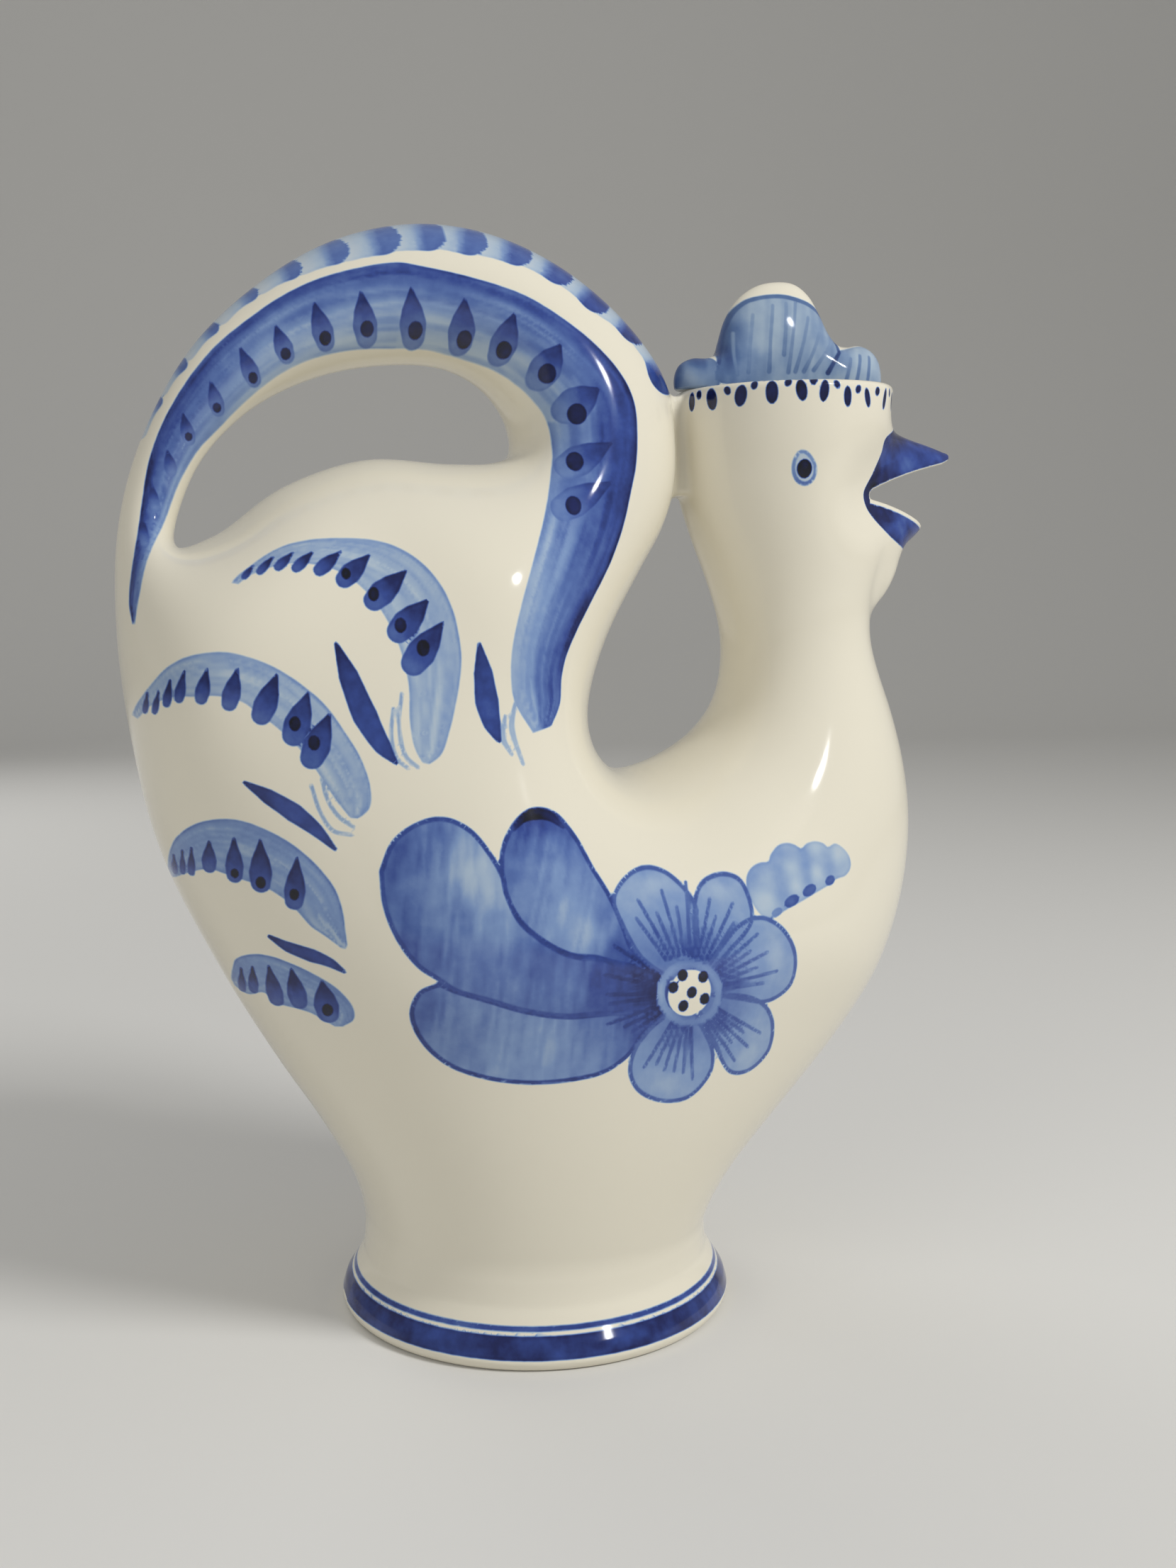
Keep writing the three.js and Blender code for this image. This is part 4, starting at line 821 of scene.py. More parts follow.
featherBrush = {
    "streaks": 0.16, "seed": 8, "paleHalves": [1.6, 2.6, 3, 2.2], "paleTones": [0.32, 0.25], "dropWide": 1.08,
    "dropTones": (0.86, 0.8, 0.64), "dot": (0.46, 0.6), "dotTone": 0.97,
    "blade": [0.1, 0.8, 1, 0.7, 0.15], "bladeTones": [0.82, 0.76, 0.7, 0.76],
    "frontBlade": [0.1, 0.8, 1, 0.75, 0.2], "frontTones": [0.8, 0.74, 0.7, 0.76],
}
featherPaint = [
    {"outer": [(326, 822), (339, 809), (393, 773), (434, 762), (481, 759), (527, 762), (563, 773),
               (594, 793), (620, 822), (638, 858), (648, 900), (651, 933), (645, 983), (635, 1028),
               (622, 1065), (606, 1078)],
     "inner": [(336, 824), (352, 812), (395, 797), (435, 795), (478, 806), (518, 836), (548, 878),
               (566, 920), (577, 970), (578, 1016), (585, 1055), (596, 1076)],
     "across": [0.36, 0.29, 0.27, 0.3],
     "drops": [((342, 817), (357, 798), 9, None), ((363, 810), (385, 786), 11, None),
               ((388, 804), (413, 780), 13, None), ((413, 806), (441, 779), 15, None),
               ((444, 810), (481, 778), 19, None), ((477, 826), (521, 783), 27, (488, 809)),
               ((517, 857), (573, 805), 33, (527, 838)), ((551, 903), (604, 846), 36, (565, 882)),
               ((573, 950), (625, 878), 39, (597, 914))],
     "pale": [[(567, 978), (563, 1022), (572, 1066), (590, 1083)],
              [(555, 1000), (552, 1037), (560, 1070), (576, 1084)]],
     "blade": ([(474, 908), (492, 954), (515, 1010), (539, 1052), (559, 1077)], 35)},
    {"outer": [(186, 1008), (193, 993), (216, 962), (239, 939), (270, 925), (316, 920), (357, 929),
               (390, 943), (423, 964), (457, 993), (486, 1032), (511, 1074), (523, 1115), (521, 1140),
               (506, 1155)],
     "inner": [(194, 1014), (212, 996), (245, 983), (274, 983), (307, 982), (341, 990), (360, 1003),
               (384, 1021), (404, 1038), (424, 1058), (450, 1092), (472, 1126), (494, 1154)],
     "across": [0.36, 0.29, 0.27, 0.3],
     "drops": [((204, 1007), (208, 978), 8, None), ((217, 1008), (224, 975), 9, None),
               ((234, 998), (240, 960), 12, None), ((251, 992), (260, 947), 14, None),
               ((282, 994), (292, 944), 19, None), ((321, 1003), (335, 943), 24, None),
               ((364, 1022), (391, 951), 31, None), ((409, 1052), (435, 977), 35, (416, 1021)),
               ((434, 1084), (465, 1007), 36, (443, 1048))],
     "pale": [[(454, 1098), (462, 1128), (478, 1152), (499, 1167)],
              [(439, 1108), (452, 1146), (470, 1172), (497, 1178)]],
     "blade": ([(345, 1104), (379, 1124), (415, 1147), (446, 1171), (473, 1198)], 27)},
    {"outer": [(236, 1226), (239, 1202), (249, 1181), (274, 1163), (303, 1156), (336, 1157), (374, 1170),
               (415, 1193), (448, 1222), (473, 1255), (483, 1284), (487, 1312), (490, 1334)],
     "inner": [(241, 1236), (262, 1232), (295, 1226), (316, 1232), (336, 1239), (374, 1252), (399, 1267),
               (419, 1285), (440, 1308), (458, 1320), (482, 1338)],
     # painted shade: this lower feather and the next get a darker wash for the shade they lie in
     "across": [0.46, 0.38, 0.36, 0.4],
     "drops": [((247, 1234), (245, 1206), 8, None), ((258, 1234), (257, 1200), 8, None),
               ((270, 1236), (270, 1196), 10, None), ((295, 1232), (295, 1187), 19, None),
               ((331, 1246), (330, 1182), 23, (331, 1232)), ((368, 1260), (367, 1185), 29, (368, 1245)),
               ((414, 1284), (419, 1210), 27, (415, 1262))],
     "pale": [[(449, 1292), (466, 1312), (486, 1336)]],
     "blade": ([(380, 1321), (407, 1336), (440, 1348), (465, 1358), (486, 1371)], 20)},
    {"outer": [(326, 1380), (328, 1366), (334, 1352), (357, 1346), (382, 1349), (415, 1361), (448, 1377),
               (477, 1396), (498, 1421), (499, 1438), (484, 1448)],
     "inner": [(331, 1390), (349, 1402), (372, 1400), (388, 1414), (404, 1419), (420, 1423), (436, 1428),
               (452, 1436), (472, 1448)],
     # painted shade: darker wash, as on the feather above, for the shade this lower feather lies in
     "across": [0.46, 0.38, 0.36, 0.4],
     "drops": [((342, 1400), (340, 1366), 10, None), ((358, 1402), (356, 1364), 13, None),
               ((392, 1420), (379, 1363), 21, None), ((424, 1424), (411, 1367), 24, None),
               ((465, 1444), (454, 1384), 31, (462, 1425))],
     "pale": [], "blade": None},
]
frontBlade = ([(676, 908), (682, 950), (687, 990), (694, 1020), (704, 1045)], 34)

flowerPaint = {
    "middle": (973, 1401), "disc": 34, "dotSize": (16, 17, 0.98),
    "ring": 41, "ringHalf": 6.5, "ringTones": [0.42, 0.5, 0.36, 0.48, 0.42],
    # dark rays over the leaves: from and to this lean, their start, length and how much it varies
    "rays": (148, 214, 11), "rayStart": 42, "rayEnd": (108, 18),
    "rayHalves": [3.2, 1.0], "rayTones": [0.84, 0.7],
    # tones at shares of the way to a petal's tip, its outline, and the fan of lines on it
    "petalTones": [(0.4, 0.54), (0.68, 0.4), (0.9, 0.3), (1, 0.4)], "outlineTone": 0.6,
    "outlineHalves": [1.6, 3, 3, 3, 1.6], "fan": 0.3, "fanLines": 6, "fanStart": 0.3, "fanEnd": (0.74, 0.08),
    "fanHalves": [2.8, 0.8], "fanTones": [0.68, 0.54],
    "dots": [(963, 1376), (992, 1378), (950, 1393), (976, 1400), (994, 1409), (964, 1419)],
    "petals": [
        [(952, 1384), (906, 1352), (881, 1310), (866, 1269), (881, 1240), (907, 1224), (936, 1229),
         (964, 1252), (979, 1275), (984, 1320), (976, 1372)],
        [(976, 1372), (980, 1320), (981, 1269), (990, 1246), (1016, 1233), (1042, 1240), (1057, 1269),
         (1060, 1300), (1030, 1340), (992, 1380)],
        [(986, 1384), (1018, 1336), (1048, 1302), (1077, 1295), (1106, 1313), (1122, 1350), (1114, 1390),
         (1083, 1412), (1040, 1408), (994, 1402)],
        [(990, 1404), (1036, 1404), (1066, 1410), (1084, 1426), (1090, 1450), (1083, 1483), (1057, 1509),
         (1031, 1512), (1010, 1478), (984, 1420)],
        [(954, 1420), (915, 1454), (895, 1483), (889, 1512), (901, 1538), (936, 1553), (973, 1546),
         (1002, 1512), (1005, 1483), (990, 1448), (974, 1420)]],
    "tips": [(914, 1228), (1018, 1237), (1112, 1338), (1068, 1500), (934, 1548)],
}

leafPaint = {
    # outline's tone, and angle, spacing and strength of the brush marks
    "leaves": {"lower": (0.72, (84, 1.0, 0.11)), "hind": (0.66, (84, 1.0, 0.12)),
               "upper": (0.7, (74, 1.0, 0.11))},
    "outlineHalves": [2.8, 3.2, 3, 3.2, 2.8], "touchLean": 31,
    "capHalves": [3, 6, 8, 7, 3], "capTones": [0.8, 0.95, 0.97, 0.9, 0.76],
    "hind": [(538, 1229), (557, 1186), (596, 1160), (629, 1156), (663, 1172), (691, 1205), (710, 1239),
             (715, 1263), (734, 1301), (768, 1330), (806, 1349), (844, 1353), (885, 1362), (948, 1392),
             (948, 1424), (844, 1430), (797, 1433), (739, 1425), (691, 1411), (643, 1397), (620, 1382),
             (591, 1363), (562, 1325), (543, 1277)],
    "hindTones": [((570, 1200), 0.62), ((620, 1180), 0.55), ((560, 1270), 0.6), ((600, 1340), 0.6),
                  ((660, 1195), 0.34), ((672, 1230), 0.26), ((700, 1260), 0.3), ((715, 1300), 0.4),
                  ((640, 1300), 0.5), ((700, 1370), 0.54), ((770, 1360), 0.6), ((800, 1400), 0.56),
                  ((850, 1385), 0.68), ((900, 1405), 0.76)],
    "upper": [(708, 1229), (710, 1196), (730, 1157), (753, 1142), (782, 1148), (811, 1181), (835, 1224),
              (859, 1263), (878, 1306), (892, 1340), (930, 1376), (880, 1364), (844, 1351), (806, 1347),
              (768, 1328), (734, 1299), (715, 1263)],
    "upperTones": [((735, 1165), 0.72), ((775, 1160), 0.7), ((728, 1195), 0.64), ((770, 1195), 0.52),
                   ((725, 1225), 0.6), ((775, 1230), 0.44), ((740, 1265), 0.5), ((800, 1290), 0.36),
                   ((828, 1310), 0.32), ((850, 1290), 0.5), ((880, 1340), 0.66)],
    "lower": [(620, 1389), (593, 1401), (581, 1430), (596, 1468), (629, 1499), (677, 1518), (739, 1527),
              (806, 1523), (854, 1511), (887, 1487), (907, 1459), (946, 1424), (844, 1432), (797, 1435),
              (739, 1427), (691, 1413), (643, 1399)],
    "lowerTones": [((600, 1420), 0.6), ((620, 1470), 0.5), ((660, 1430), 0.46), ((700, 1490), 0.42),
                   ((760, 1480), 0.4), ((820, 1490), 0.44), ((860, 1470), 0.55), ((900, 1445), 0.72)],
    "cap": [(725, 1170), (737, 1155), (755, 1148), (775, 1151), (794, 1166)],
    "bud": [(1070, 1287), (1056, 1262), (1053, 1238), (1060, 1224), (1072, 1217), (1084, 1215),
            (1087, 1206), (1097, 1193), (1110, 1189), (1122, 1192), (1130, 1197), (1138, 1190),
            (1150, 1187), (1162, 1190), (1168, 1195), (1178, 1190), (1189, 1196), (1198, 1208),
            (1200, 1223), (1193, 1235), (1180, 1240), (1167, 1250), (1155, 1257), (1137, 1268),
            (1110, 1283), (1090, 1295), (1078, 1294)],
    "budTones": [((1060, 1237), 0.4), ((1068, 1222), 0.38), ((1084, 1242), 0.3), ((1080, 1270), 0.2),
                 ((1097, 1228), 0.4), ((1106, 1245), 0.4), ((1108, 1262), 0.42), ((1096, 1205), 0.4),
                 ((1112, 1200), 0.34), ((1118, 1225), 0.2), ((1121, 1250), 0.16), ((1133, 1206), 0.42),
                 ((1138, 1222), 0.42), ((1139, 1240), 0.4), ((1150, 1196), 0.22), ((1152, 1230), 0.16),
                 ((1169, 1208), 0.34), ((1169, 1224), 0.4), ((1181, 1205), 0.18), ((1194, 1222), 0.3)],
    "budTouches": [((1096, 1287), 18, 11, 0.44), ((1117, 1271), 25, 15, 0.62), ((1142, 1256), 23, 15, 0.62),
                   ((1171, 1242), 17, 13, 0.6)],
}

headPaint = {
    # middle, width and height of each drop under the rim
    "drops": [((976, 567), 13, 27), ((1004, 563), 18, 31), ((1045, 558), 18, 31), ((1089, 553), 18, 33),
              ((1131, 550), 16, 31), ((1163, 551), 14, 32), ((1196, 559), 13, 30), ((1224, 561), 11, 28),
              ((1248, 563), 9, 32)],
    "between": [(986, 557), (1026, 551), (1064, 543), (1112, 539), (1147, 537), (1181, 542), (1211, 549),
                (1238, 552)],
    # way round from the beak, height and half size of those out of sight
    "hidden": [(17.4, 229.2, 1.9), (10.6, 229.4, 1.9), (3.6, 229.4, 1.9), (20.8, 231, 0.9),
               (14, 231.2, 0.9), (7.1, 231.2, 0.9), (0, 231.2, 0.9)],
    # least x, and least and most z of the beak and of the drops
    "beakPlace": (78, 180, 228), "dropPlace": (36, 205, 300),
    "headRadius": 28, "dropTone": 0.92, "betweenSize": (10, 13, 0.9),
    "eye": (1135, 661), "pupil": (21, 27, 0.99), "eyeRing": (15.5, 20.5), "eyeWash": 0.2,
    "eyeHalves": [2.8, 2.4, 2, 2.4, 2.8], "eyeTones": [0.56, 0.44, 0.42, 0.44, 0.56],
    # top of the beak's painted edge as way round and height, and the rest of it as seen
    "beakTop": [(2.5, 224.7), (8, 223.9), (14, 222.2), (19.6, 219.6)],
    "beakEdge": [(1243, 640), (1230, 670), (1218, 697), (1222, 715), (1240, 740), (1272, 772)],
    "beakTones": [((1262, 614), 0.88), ((1300, 638), 0.80), ((1335, 650), 0.72), ((1252, 645), 0.76),
                  ((1285, 655), 0.66), ((1310, 655), 0.76), ((1232, 690), 0.90), ((1252, 676), 0.86),
                  ((1230, 712), 0.90), ((1250, 730), 0.84), ((1272, 742), 0.68), ((1292, 742), 0.74),
                  ((1268, 764), 0.80)],
    "upperLip": 0.15, "lowerLip": 1.3, "lipNear": 5, "lipFacing": 0.4, "mottle": (0.15, 0.06),
}

combPaint = {
    # outline, tones, and angle, spacing and strength of the brush marks
    "lobes": [("rearLobe", "rearTones", (80, 1.3, 0.2)), ("frontLobe", "frontTones", (80, 1.3, 0.1)),
              ("middle", "tones", (85, 1.4, 0.1))],
    # lines, half widths and tones
    "strokes": [("arc", [2.6, 3.2, 2.8, 3.2, 2.6], [0.66, 0.56, 0.5, 0.54, 0.64]),
                ("streaks", [1.2, 2.2, 3.2], [0.36, 0.42, 0.5]), ("frontStreaks", [1.2, 2.8], [0.42, 0.52]),
                ("crease", [2.4, 3.4], 0.72)],
    "middle": [(1010, 536), (1013, 508), (1013, 488), (1018, 466), (1031, 443), (1050, 426), (1073, 419),
               (1100, 417), (1121, 421), (1145, 432), (1166, 453), (1178, 477), (1184, 496), (1170, 524),
               (1170, 545), (1090, 545)],
    "arc": [[(1014, 512), (1013, 490), (1018, 467), (1031, 444), (1050, 427), (1073, 420), (1100, 418),
             (1121, 422), (1145, 433), (1166, 454), (1178, 478), (1183, 495)]],
    # partly painted shade: the middle lobe's wash darkens toward its lower left, partly the paint's own tone
    # and partly the shade that falls there
    "tones": [((1025, 500), 0.64), ((1034, 470), 0.56), ((1056, 440), 0.34), ((1075, 480), 0.31),
              ((1100, 450), 0.3), ((1130, 460), 0.32), ((1150, 480), 0.36), ((1170, 500), 0.4),
              ((1120, 515), 0.38), ((1060, 520), 0.46)],
    "streaks": [[(1062, 444), (1058, 490), (1056, 525)], [(1090, 431), (1087, 480), (1085, 524)],
                [(1109, 428), (1106, 500)], [(1122, 427), (1118, 480), (1112, 525)],
                [(1140, 448), (1132, 490), (1122, 524)], [(1156, 470), (1146, 500), (1134, 524)],
                [(1173, 482), (1160, 505), (1148, 522)], [(1034, 470), (1036, 505), (1040, 528)]],
    "rearLobe": [(940, 548), (945, 530), (954, 512), (976, 503), (1000, 505), (1014, 516), (1012, 548),
                 (975, 556)],
    "rearTones": [((952, 520), 0.6), ((970, 507), 0.66), ((1000, 508), 0.6), ((972, 528), 0.32),
                  ((1000, 535), 0.46)],
    "frontLobe": [(1140, 545), (1150, 515), (1172, 498), (1192, 493), (1212, 489), (1230, 493), (1243, 508),
                  (1246, 536), (1215, 550)],
    "frontTones": [((1184, 506), 0.5), ((1210, 505), 0.28), ((1230, 515), 0.26), ((1200, 535), 0.34),
                   ((1225, 535), 0.34)],
    "frontStreaks": [[(1200, 506), (1194, 536)], [(1213, 502), (1209, 536)], [(1226, 504), (1224, 536)]],
    "crease": [[(1184, 497), (1176, 512), (1168, 526)]],
}

# upper limit, height, half width and tone of the lines round the foot, and how much they sway and cloud
footPaint = {"top": 16, "lines": [(5.5, 2.5, 0.78), (9.35, 0.55, 0.66)], "sway": 0.16, "cloud": 0.14}

# places that stay plain: rump behind and under, with the half width of its gap; inner walls of the
# head ahead of and over, by how far they face inward; and the sole under a level
plain = {"rump": (-50, 182, 4), "walls": (36, 120, -0.25), "sole": (12, 2.5)}


def placed(points, ahead, over, under):
    # points ahead of a place along x and between two levels
    x, z = sidePlane(points).T
    return np.nonzero((x > ahead) & (z > over) & (z < under))[0]


def paintFeather(wash, stroke, ink, paint, style, more=(0, 0)):
    # streaky band with pale lines at its end and drops along it, some with a dark middle
    wash.band(paint["outer"], paint["inner"], paint["across"], style["streaks"], style["seed"], more)
    for line in paint["pale"]:
        wash.brush(line, style["paleHalves"], style["paleTones"])
    for base, tip, width, middle in paint["drops"]:
        stroke.drop(base, tip, style["dropWide"] * width, style["dropTones"])
        if middle:
            wide, tall = style["dot"]
            ink.spot(middle, wide * width, tall * width, style["dotTone"])


def paintBlade(stroke, blade, shape, tones):
    # one dark stroke, its shape as shares of its width
    line, width = blade
    stroke.brush(line, np.array(shape) * width / 2, tones)


def paintFlower(wash, stroke, ink):
    # leaves, rays and bud, the petals over them, then the heart with its ring and dots
    for name, (tone, streak) in leafPaint["leaves"].items():
        line = leafPaint[name]
        wash.fill(line, leafPaint[name + "Tones"], streak)
        stroke.brush(line + line[:1], leafPaint["outlineHalves"], tone, 0.5)
    stroke.brush(leafPaint["cap"], leafPaint["capHalves"], leafPaint["capTones"])
    heart = np.array(flowerPaint["middle"], float)
    length, varies = flowerPaint["rayEnd"]
    for n, lean in enumerate(np.radians(np.linspace(*flowerPaint["rays"]))):
        out = np.array([np.cos(lean), -np.sin(lean)])
        ray = [heart + flowerPaint["rayStart"] * out, heart + (length + varies * np.cos(2.3 * n)) * out]
        stroke.brush(ray, flowerPaint["rayHalves"], flowerPaint["rayTones"])
    wash.fill(leafPaint["bud"], leafPaint["budTones"])
    for petal, tip in zip(flowerPaint["petals"], flowerPaint["tips"]):
        way = np.array(tip, float) - heart
        wash.fill(petal, [(heart + way * share, tone) for share, tone in flowerPaint["petalTones"]])
        stroke.brush(petal, flowerPaint["outlineHalves"], flowerPaint["outlineTone"], 0.48)
        side = np.array([-way[1], way[0]])
        start, (length, varies) = flowerPaint["fanStart"], flowerPaint["fanEnd"]
        fans = np.linspace(-flowerPaint["fan"], flowerPaint["fan"], flowerPaint["fanLines"])
        for n, fan in enumerate(fans):
            end = length + varies * np.cos(3 * n + way[0])
            line = [heart + start * (way + fan * side), heart + end * (way + fan * side)]
            stroke.brush(line, flowerPaint["fanHalves"], flowerPaint["fanTones"])
    for coat in (wash, stroke):
        coat.lift(heart, flowerPaint["disc"])
    angle = np.linspace(0, 2 * np.pi, 25)
    ring = heart + flowerPaint["ring"] * np.stack([np.cos(angle), np.sin(angle)], 1)
    stroke.brush(ring, [flowerPaint["ringHalf"]], flowerPaint["ringTones"])
    for dot in flowerPaint["dots"]:
        ink.spot(dot, *flowerPaint["dotSize"])
    for touch in leafPaint["budTouches"]:
        stroke.spot(*touch, leafPaint["touchLean"])


def paintBird(points, normals):
    # washes first, then strokes, then the black touches
    wash, stroke, ink = (Coat(birdForm, points) for n in range(3))
    x, y, z = points.T

    # tail: dabs along its back, each over the start of the next, then the band
    dabs = np.array(tailPaint["dabs"], float)
    sizeFrom, sizeOver, least = tailPaint["dabSize"]
    endFrom, endOver, endTone, endMore = tailPaint["dabEnd"]
    for start, end in zip(dabs[-2::-1], dabs[:0:-1]):
        way = end - start
        out = tailPaint["dabBow"] * np.array([way[1], -way[0]])
        dark = endTone + endMore * np.clip((end[0] - endFrom) / endOver, 0, 1)
        full = np.clip((end[0] - sizeFrom) / sizeOver, least, 1)
        line = [start + way * tailPaint["dabStart"], (start + end) / 2 + out,
                end - tailPaint["dabStop"] * way]
        wash.brush(line, np.array(tailPaint["dabHalves"]) * full, tailPaint["dabTones"] + [dark],
                   shift=tailPaint["dabShift"] * full)
    paintFeather(wash, stroke, ink, tailPaint, tailPaint["brush"], tailPaint["along"])

    # folded wing feathers: a pale crescent with drops along it and a dark blade under it
    for feather in featherPaint:
        paintFeather(wash, stroke, ink, feather, featherBrush)
        if feather["blade"]:
            paintBlade(stroke, feather["blade"], featherBrush["blade"], featherBrush["bladeTones"])
    paintBlade(stroke, frontBlade, featherBrush["frontBlade"], featherBrush["frontTones"])
    paintFlower(wash, stroke, ink)

    # eye, its ring drawn out a little at the top
    ex, ez = headPaint["eye"]
    wide, tall = headPaint["eyeRing"]
    angle = np.linspace(0, 2 * np.pi, 25)
    ring = np.stack([ex - 3 * np.sin(angle / 2) ** 8 + wide * np.sin(angle),
                     ez + 1 + tall * np.cos(angle) - 5 * np.sin(angle / 2) ** 12], 1)
    wash.fill(ring[:-1], headPaint["eyeWash"])
    stroke.brush(ring, headPaint["eyeHalves"], headPaint["eyeTones"])
    ink.spot(headPaint["eye"], *headPaint["pupil"])

    # beak: all ahead of its painted edge, less the pale lips and the inside of the mouth
    at = placed(points, *headPaint["beakPlace"])
    beak = Coat(birdForm, points[at], headPlane)
    edge = np.concatenate([headPaint["beakTop"], beak.seen(headPaint["beakEdge"])[0]])
    beak.flood(smoothLoop(np.concatenate([edge, edge[::-1] * (-1, 1)]), 6), 0.7)
    s = x[at] - bird["mouth"]["corner"][0]
    over = z[at] - lipLine("upper", x[at])[0]
    under = lipLine("lower", x[at])[0] - z[at]
    upperBare = headPaint["upperLip"] * np.clip(1.6 - s / 12, 0.2, 1)
    lips = np.maximum(over - upperBare, under - headPaint["lowerLip"])
    depth = np.minimum(beak.edge, np.where(s > -0.5, lips, 3))
    facing = normals[at, 2] * np.where(over > under, -1, 1)
    nearLips = (s > -0.5) & (np.maximum(over, under) < headPaint["lipNear"])
    depth = np.where(nearLips, np.minimum(depth, 1.5 * (headPaint["lipFacing"] - facing)), depth)
    broad, small = headPaint["mottle"]
    mottle = broad * (grain(x / 4.2 + 0.2 * z, z / 3.4, 11)[at] - 0.5)
    mottle = mottle + small * (grain(x / 1.6, z / 1.8 + y / 2, 12)[at] - 0.5)
    wash.put(at, depth, wash.shade(at, headPaint["beakTones"]) + mottle)

    # drops round the head under the rim, and the lines round the foot
    head = placed(points, *headPaint["dropPlace"])
    rim = Coat(birdForm, points[head], headPlane)
    for n, (middle, wide, tall) in enumerate(headPaint["drops"]):
        rim.spot(middle, wide, tall, headPaint["dropTone"], 9 * np.sin(2.1 * n))
    for n, middle in enumerate(headPaint["between"]):
        rim.spot(middle, *headPaint["betweenSize"], 30 * np.sin(1.7 * n))
    t = np.linspace(-1, 1, 7)
    for way, height, half in headPaint["hidden"]:
        line = np.stack([way + 0 * t, height + half * t], 1)
        rim.draw(line, 0.62 * half * np.sqrt(1 - 0.9 * t ** 2), headPaint["dropTone"] + 0 * t)
    stroke.put(head, rim.edge, rim.tone)
    foot = np.nonzero(z < footPaint["top"])[0]
    way = np.arctan2(y[foot], x[foot])
    for middle, half, tone in footPaint["lines"]:
        sway = footPaint["sway"] * (grain(way * 2.2 + 9, 0 * way + middle, 21) - 0.5)
        cloud = footPaint["cloud"] * (grain(way * 6, z[foot] / 3, 22) - 0.5)
        stroke.put(foot, half - np.abs(z[foot] - middle - sway), tone + cloud)

    # the two sides don't meet on the rump, and the inner walls stay plain
    behind, below, gap = plain["rump"]
    rump = (x < behind) & (z < below)
    for coat in (wash, stroke):
        coat.edge[rump] = np.minimum(coat.edge[rump], np.abs(y[rump]) - gap)
    ahead, over, inward = plain["walls"]
    inner = (normals[:, 1] * np.sign(y) < inward) & (x > ahead) & (z > over)
    level, margin = plain["sole"]
    inner |= (z < level) & (np.hypot(x, y) < bird["ringInside"] + margin)
    for coat in (wash, stroke, ink):
        coat.edge[inner] = Coat.bare
    return wash, stroke, ink


def paintComb(points):
    # three lobes, then the strokes over them
    wash, stroke, ink = (Coat(combForm, points) for n in range(3))
    for name, tones, marks in combPaint["lobes"]:
        wash.fill(combPaint[name], combPaint[tones], marks)
    for name, halves, tones in combPaint["strokes"]:
        for line in combPaint[name]:
            stroke.brush(line, halves, tones)
    return wash, stroke, ink


def coatsOf(coats, used):
    # attributes of a piece: depth and tone of each coat at its points
    return {name + part: getattr(coat, part.lower())[used]
            for name, coat in zip(("wash", "stroke", "ink"), coats) for part in ("Edge", "Tone")}


birdCoats = paintBird(skinPoints, skinNormals)
combCoats = paintComb(combPoints)
print("painting laid")


# Materials

class Paint:
    # one socket of a node tree; operators add the Math node for the expression
    def __init__(self, tree, socket):
        self.tree, self.socket = tree, socket

    def node(self, kind, settings=None, sockets=None, out=0):
        made = self.tree.nodes.new(kind)
        for key, value in (settings or {}).items():
            if key == "stops":
                ramp = made.color_ramp.elements
                while len(ramp) < len(value):
                    ramp.new(0.5)
                for stop, (at, colour) in zip(ramp, value):
                    stop.position = at
                    stop.color = (*colour, 1)
            else:
                setattr(made, key, value)
        for key, value in (sockets or {}).items():
            if isinstance(value, Paint):
                self.tree.links.new(value.socket, made.inputs[key])
            else:
                made.inputs[key].default_value = value
        return Paint(self.tree, made.outputs[out]) if len(made.outputs) else made

    def maths(self, operation, *values):
        return self.node("ShaderNodeMath", {"operation": operation}, dict(enumerate(values)))

    def held(self):
        return self.node("ShaderNodeClamp", None, {0: self})

    def __add__(self, other):
        return self.maths("ADD", self, other)

    def __radd__(self, other):
        return self.maths("ADD", other, self)

    def __sub__(self, other):
        return self.maths("SUBTRACT", self, other)

    def __rsub__(self, other):
        return self.maths("SUBTRACT", other, self)

    def __mul__(self, other):
        return self.maths("MULTIPLY", self, other)

    def __rmul__(self, other):
        return self.maths("MULTIPLY", other, self)


def linearOf(red, green, blue):
    # screen values from 0 to 255 to the linear values that sockets hold
    v = np.array([red, green, blue]) / 255
    return tuple(np.where(v <= 0.04045, v / 12.92, ((v + 0.055) / 1.055) ** 2.4))


glaze = {
    "roughness": 0.07, "roughnessVaries": 0.06, "bump": 0.12, "bumpHeight": 0.0006,
    # scale and detail of the brush marks, the clouds and the uneven surface
    "brushMarks": (330.0, 3.0), "clouds": (90.0, 2.0), "waves": (60.0, 2.0),
    "edgeSoft": 0.4, "ragged": 0.16, "poolWide": 0.9, "pool": 0.05, "brushed": 0.26, "cloud": 0.16,
    # paint from a thin wash to a full brush
    "cobalt": [(0.0, (226, 220, 202)), (0.12, (197, 203, 205)), (0.25, (166, 184, 202)),
               (0.4, (122, 148, 190)), (0.55, (84, 110, 168)), (0.7, (50, 72, 142)),
               (0.85, (25, 35, 88)), (1.0, (12, 14, 28))],
    "greyCobalt": [(0.0, (226, 220, 202)), (0.12, (196, 202, 203)), (0.25, (162, 179, 194)),
                   (0.4, (120, 143, 174)), (0.55, (82, 108, 150)), (0.7, (52, 74, 124)),
                   (0.85, (27, 38, 80)), (1.0, (12, 14, 28))],
}


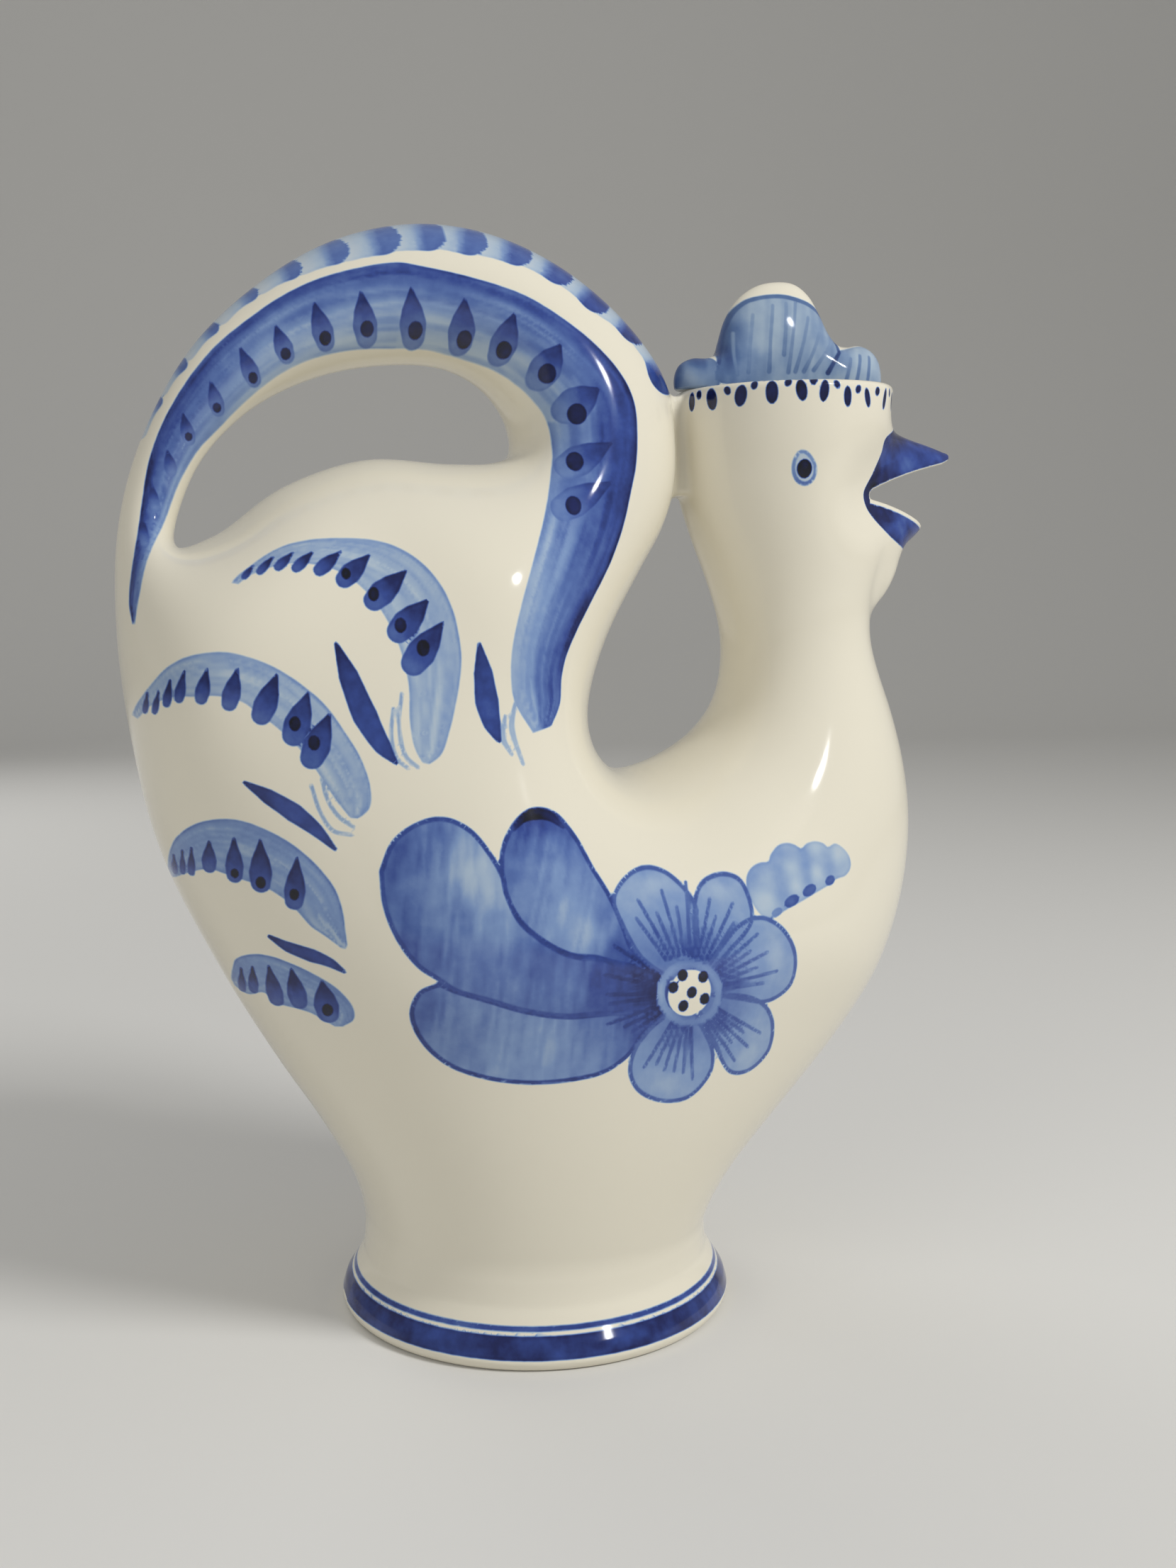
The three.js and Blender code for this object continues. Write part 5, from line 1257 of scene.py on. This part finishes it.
def glazeMaterial(name, cobaltStops):
    # glaze with three coats of cobalt, each over the one before
    material = bpy.data.materials.new(name)
    material.use_nodes = True
    tree = material.node_tree
    tree.nodes.clear()
    start = Paint(tree, None)
    place = start.node("ShaderNodeTexCoord", out=3)
    noise = lambda scale, detail: start.node(
        "ShaderNodeTexNoise", None, {"Vector": place, "Scale": scale, "Detail": detail})
    brushed, cloud, wave = (noise(*glaze[key]) for key in ("brushMarks", "clouds", "waves"))
    cobalt = None
    for coat in ("wash", "stroke", "ink"):
        edge = start.node("ShaderNodeAttribute", {"attribute_name": coat + "Edge"}, out=2)
        tone = start.node("ShaderNodeAttribute", {"attribute_name": coat + "Tone"}, out=2)
        # the brush leaves the edge a little ragged, and paint pools along it
        ragged = edge + (brushed - 0.5) * glaze["ragged"]
        cover = (ragged * (1 / glaze["edgeSoft"]) + 0.5).held()
        pooled = (1.0 - edge * (1 / glaze["poolWide"])).held() * glaze["pool"]
        full = tone * ((brushed - 0.5) * glaze["brushed"] + (cloud - 0.5) * glaze["cloud"] + 1.0) + pooled
        cobalt = full * cover if cobalt is None else cobalt + (full - cobalt) * cover
    stops = [(at, linearOf(*colour)) for at, colour in cobaltStops]
    colour = start.node("ShaderNodeValToRGB", {"stops": stops}, {"Fac": cobalt})
    bump = start.node("ShaderNodeBump", None, {
        "Height": wave, "Strength": glaze["bump"], "Distance": glaze["bumpHeight"]})
    roughness = cloud * glaze["roughnessVaries"] + glaze["roughness"]
    shader = start.node("ShaderNodeBsdfPrincipled", None, {
        "Base Color": colour, "Roughness": roughness, "Normal": bump})
    start.node("ShaderNodeOutputMaterial", None, {"Surface": shader})
    return material


ivoryGlaze = glazeMaterial("ivoryGlaze", glaze["cobalt"])
combGlaze = glazeMaterial("combGlaze", glaze["greyCobalt"])

for number, (name, nodes) in enumerate(zip(pieceNames, pieceNodes)):
    quads = skinQuads[pieceOf == number]
    used, quads = np.unique(quads, return_inverse=True)
    quads = quads.reshape(-1, 4)
    piece = newMesh(name, skinPoints[used], quads, skinNormals[used], **coatsOf(birdCoats, used))
    piece.data.materials.append(ivoryGlaze)
    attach(piece, "vessel")
    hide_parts(*nodes)
    print(name, 2 * len(quads), "triangles")

combPiece = newMesh("combSkin", combPoints, combQuads, combNormals, **coatsOf(combCoats, slice(None)))
combPiece.data.materials.append(combGlaze)
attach(combPiece, "stopper")
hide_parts("comb")

unpainted = {name: np.full(len(plugPoints), Coat.bare) for name in ("washEdge", "strokeEdge", "inkEdge")}
plugPiece = newMesh("plugTurned", plugPoints, plugQuads, None, **unpainted)
plugPiece.data.materials.append(ivoryGlaze)
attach(plugPiece, "stopper")
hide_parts("stopper_plug")
print("stopper made")

# Floor, lamps and camera

studio = {
    "floor": (0.72, 0.71, 0.68), "floorRough": 0.8, "world": 0.34, "aim": (0, 0, 0.14),
    # floor: half width, front edge, start and radius of the bend, and height of the wall, in metres
    "half": 4, "front": -3.0, "bendStart": 1.6, "bendRadius": 0.9, "wall": 4.0,
    # place, size and power
    "lamps": {"keyLamp": ((0.75, -0.75, 0.95), 0.4, 11.5), "fillLamp": ((-0.95, -0.7, 0.55), 0.9, 2.4),
              "backLamp": ((-0.5, 1.1, 0.8), 0.9, 4.0), "glintLamp": ((0.62, -0.95, 0.85), 0.1, 1.2)},
}


def areaLamp(name, place, size, power):
    # round lamp that faces the aim
    data = bpy.data.lights.new(name, "AREA")
    data.shape = "DISK"
    data.size = size
    data.energy = power
    lamp = bpy.data.objects.new(name, data)
    bpy.context.scene.collection.objects.link(lamp)
    away = np.array(place) - studio["aim"]
    away = away / np.linalg.norm(away)
    right = np.cross((0, 0, 1), away)
    right = right / np.linalg.norm(right)
    up = np.cross(away, right)
    lamp.matrix_world = Matrix([[right[i], up[i], away[i], place[i]] for i in range(3)] + [[0, 0, 0, 1]])
    return lamp


# floor that runs back and bends up into a wall: a profile carried sideways
bend = np.linspace(0, np.pi / 2, 24)
bendStart, bendRadius = studio["bendStart"], studio["bendRadius"]
floorY = np.concatenate([[studio["front"], bendStart], bendStart + bendRadius * np.sin(bend),
                         [bendStart + bendRadius]])
floorZ = np.concatenate([[0, 0], bendRadius * (1 - np.cos(bend)), [studio["wall"]]])
floorX = np.linspace(-studio["half"], studio["half"], 9)
floorPoints = np.stack(np.broadcast_arrays(floorX[:, None], floorY[None], floorZ[None]), 2).reshape(-1, 3)
floorQuads = gridFaces(len(floorX), len(floorY), False)
floor = newMesh("studioFloor", floorPoints * 1000 + (footSetback, 0, 0), floorQuads)
floorPaint = bpy.data.materials.new("studioPaper")
floorPaint.use_nodes = True
paper = floorPaint.node_tree.nodes["Principled BSDF"]
paper.inputs["Base Color"].default_value = (*studio["floor"], 1)
paper.inputs["Roughness"].default_value = studio["floorRough"]
floor.data.materials.append(floorPaint)

world = bpy.data.worlds.new("studioAir")
world.use_nodes = True
world.node_tree.nodes["Background"].inputs["Color"].default_value = (1, 1, 1, 1)
world.node_tree.nodes["Background"].inputs["Strength"].default_value = studio["world"]
bpy.context.scene.world = world
for name, (place, size, power) in studio["lamps"].items():
    lamp = areaLamp(name, place, size, power)
    # only the small lamp shows in the glaze, and none to the camera
    lamp.visible_glossy = name == "glintLamp"
    lamp.visible_diffuse = name != "glintLamp"
    lamp.visible_camera = False
bpy.context.scene.view_settings.view_transform = "Standard"

camData = bpy.data.cameras.new("camera")
camData.lens = view["lens"]
camera = bpy.data.objects.new("camera", camData)
bpy.context.scene.collection.objects.link(camera)
eyeRow = (eye - (footSetback, 0, 0)) / 1000
camera.matrix_world = Matrix([[sideways[i], top[i], -look[i], eyeRow[i]] for i in range(3)] + [[0, 0, 0, 1]])
bpy.context.scene.camera = camera

print("scene ready")
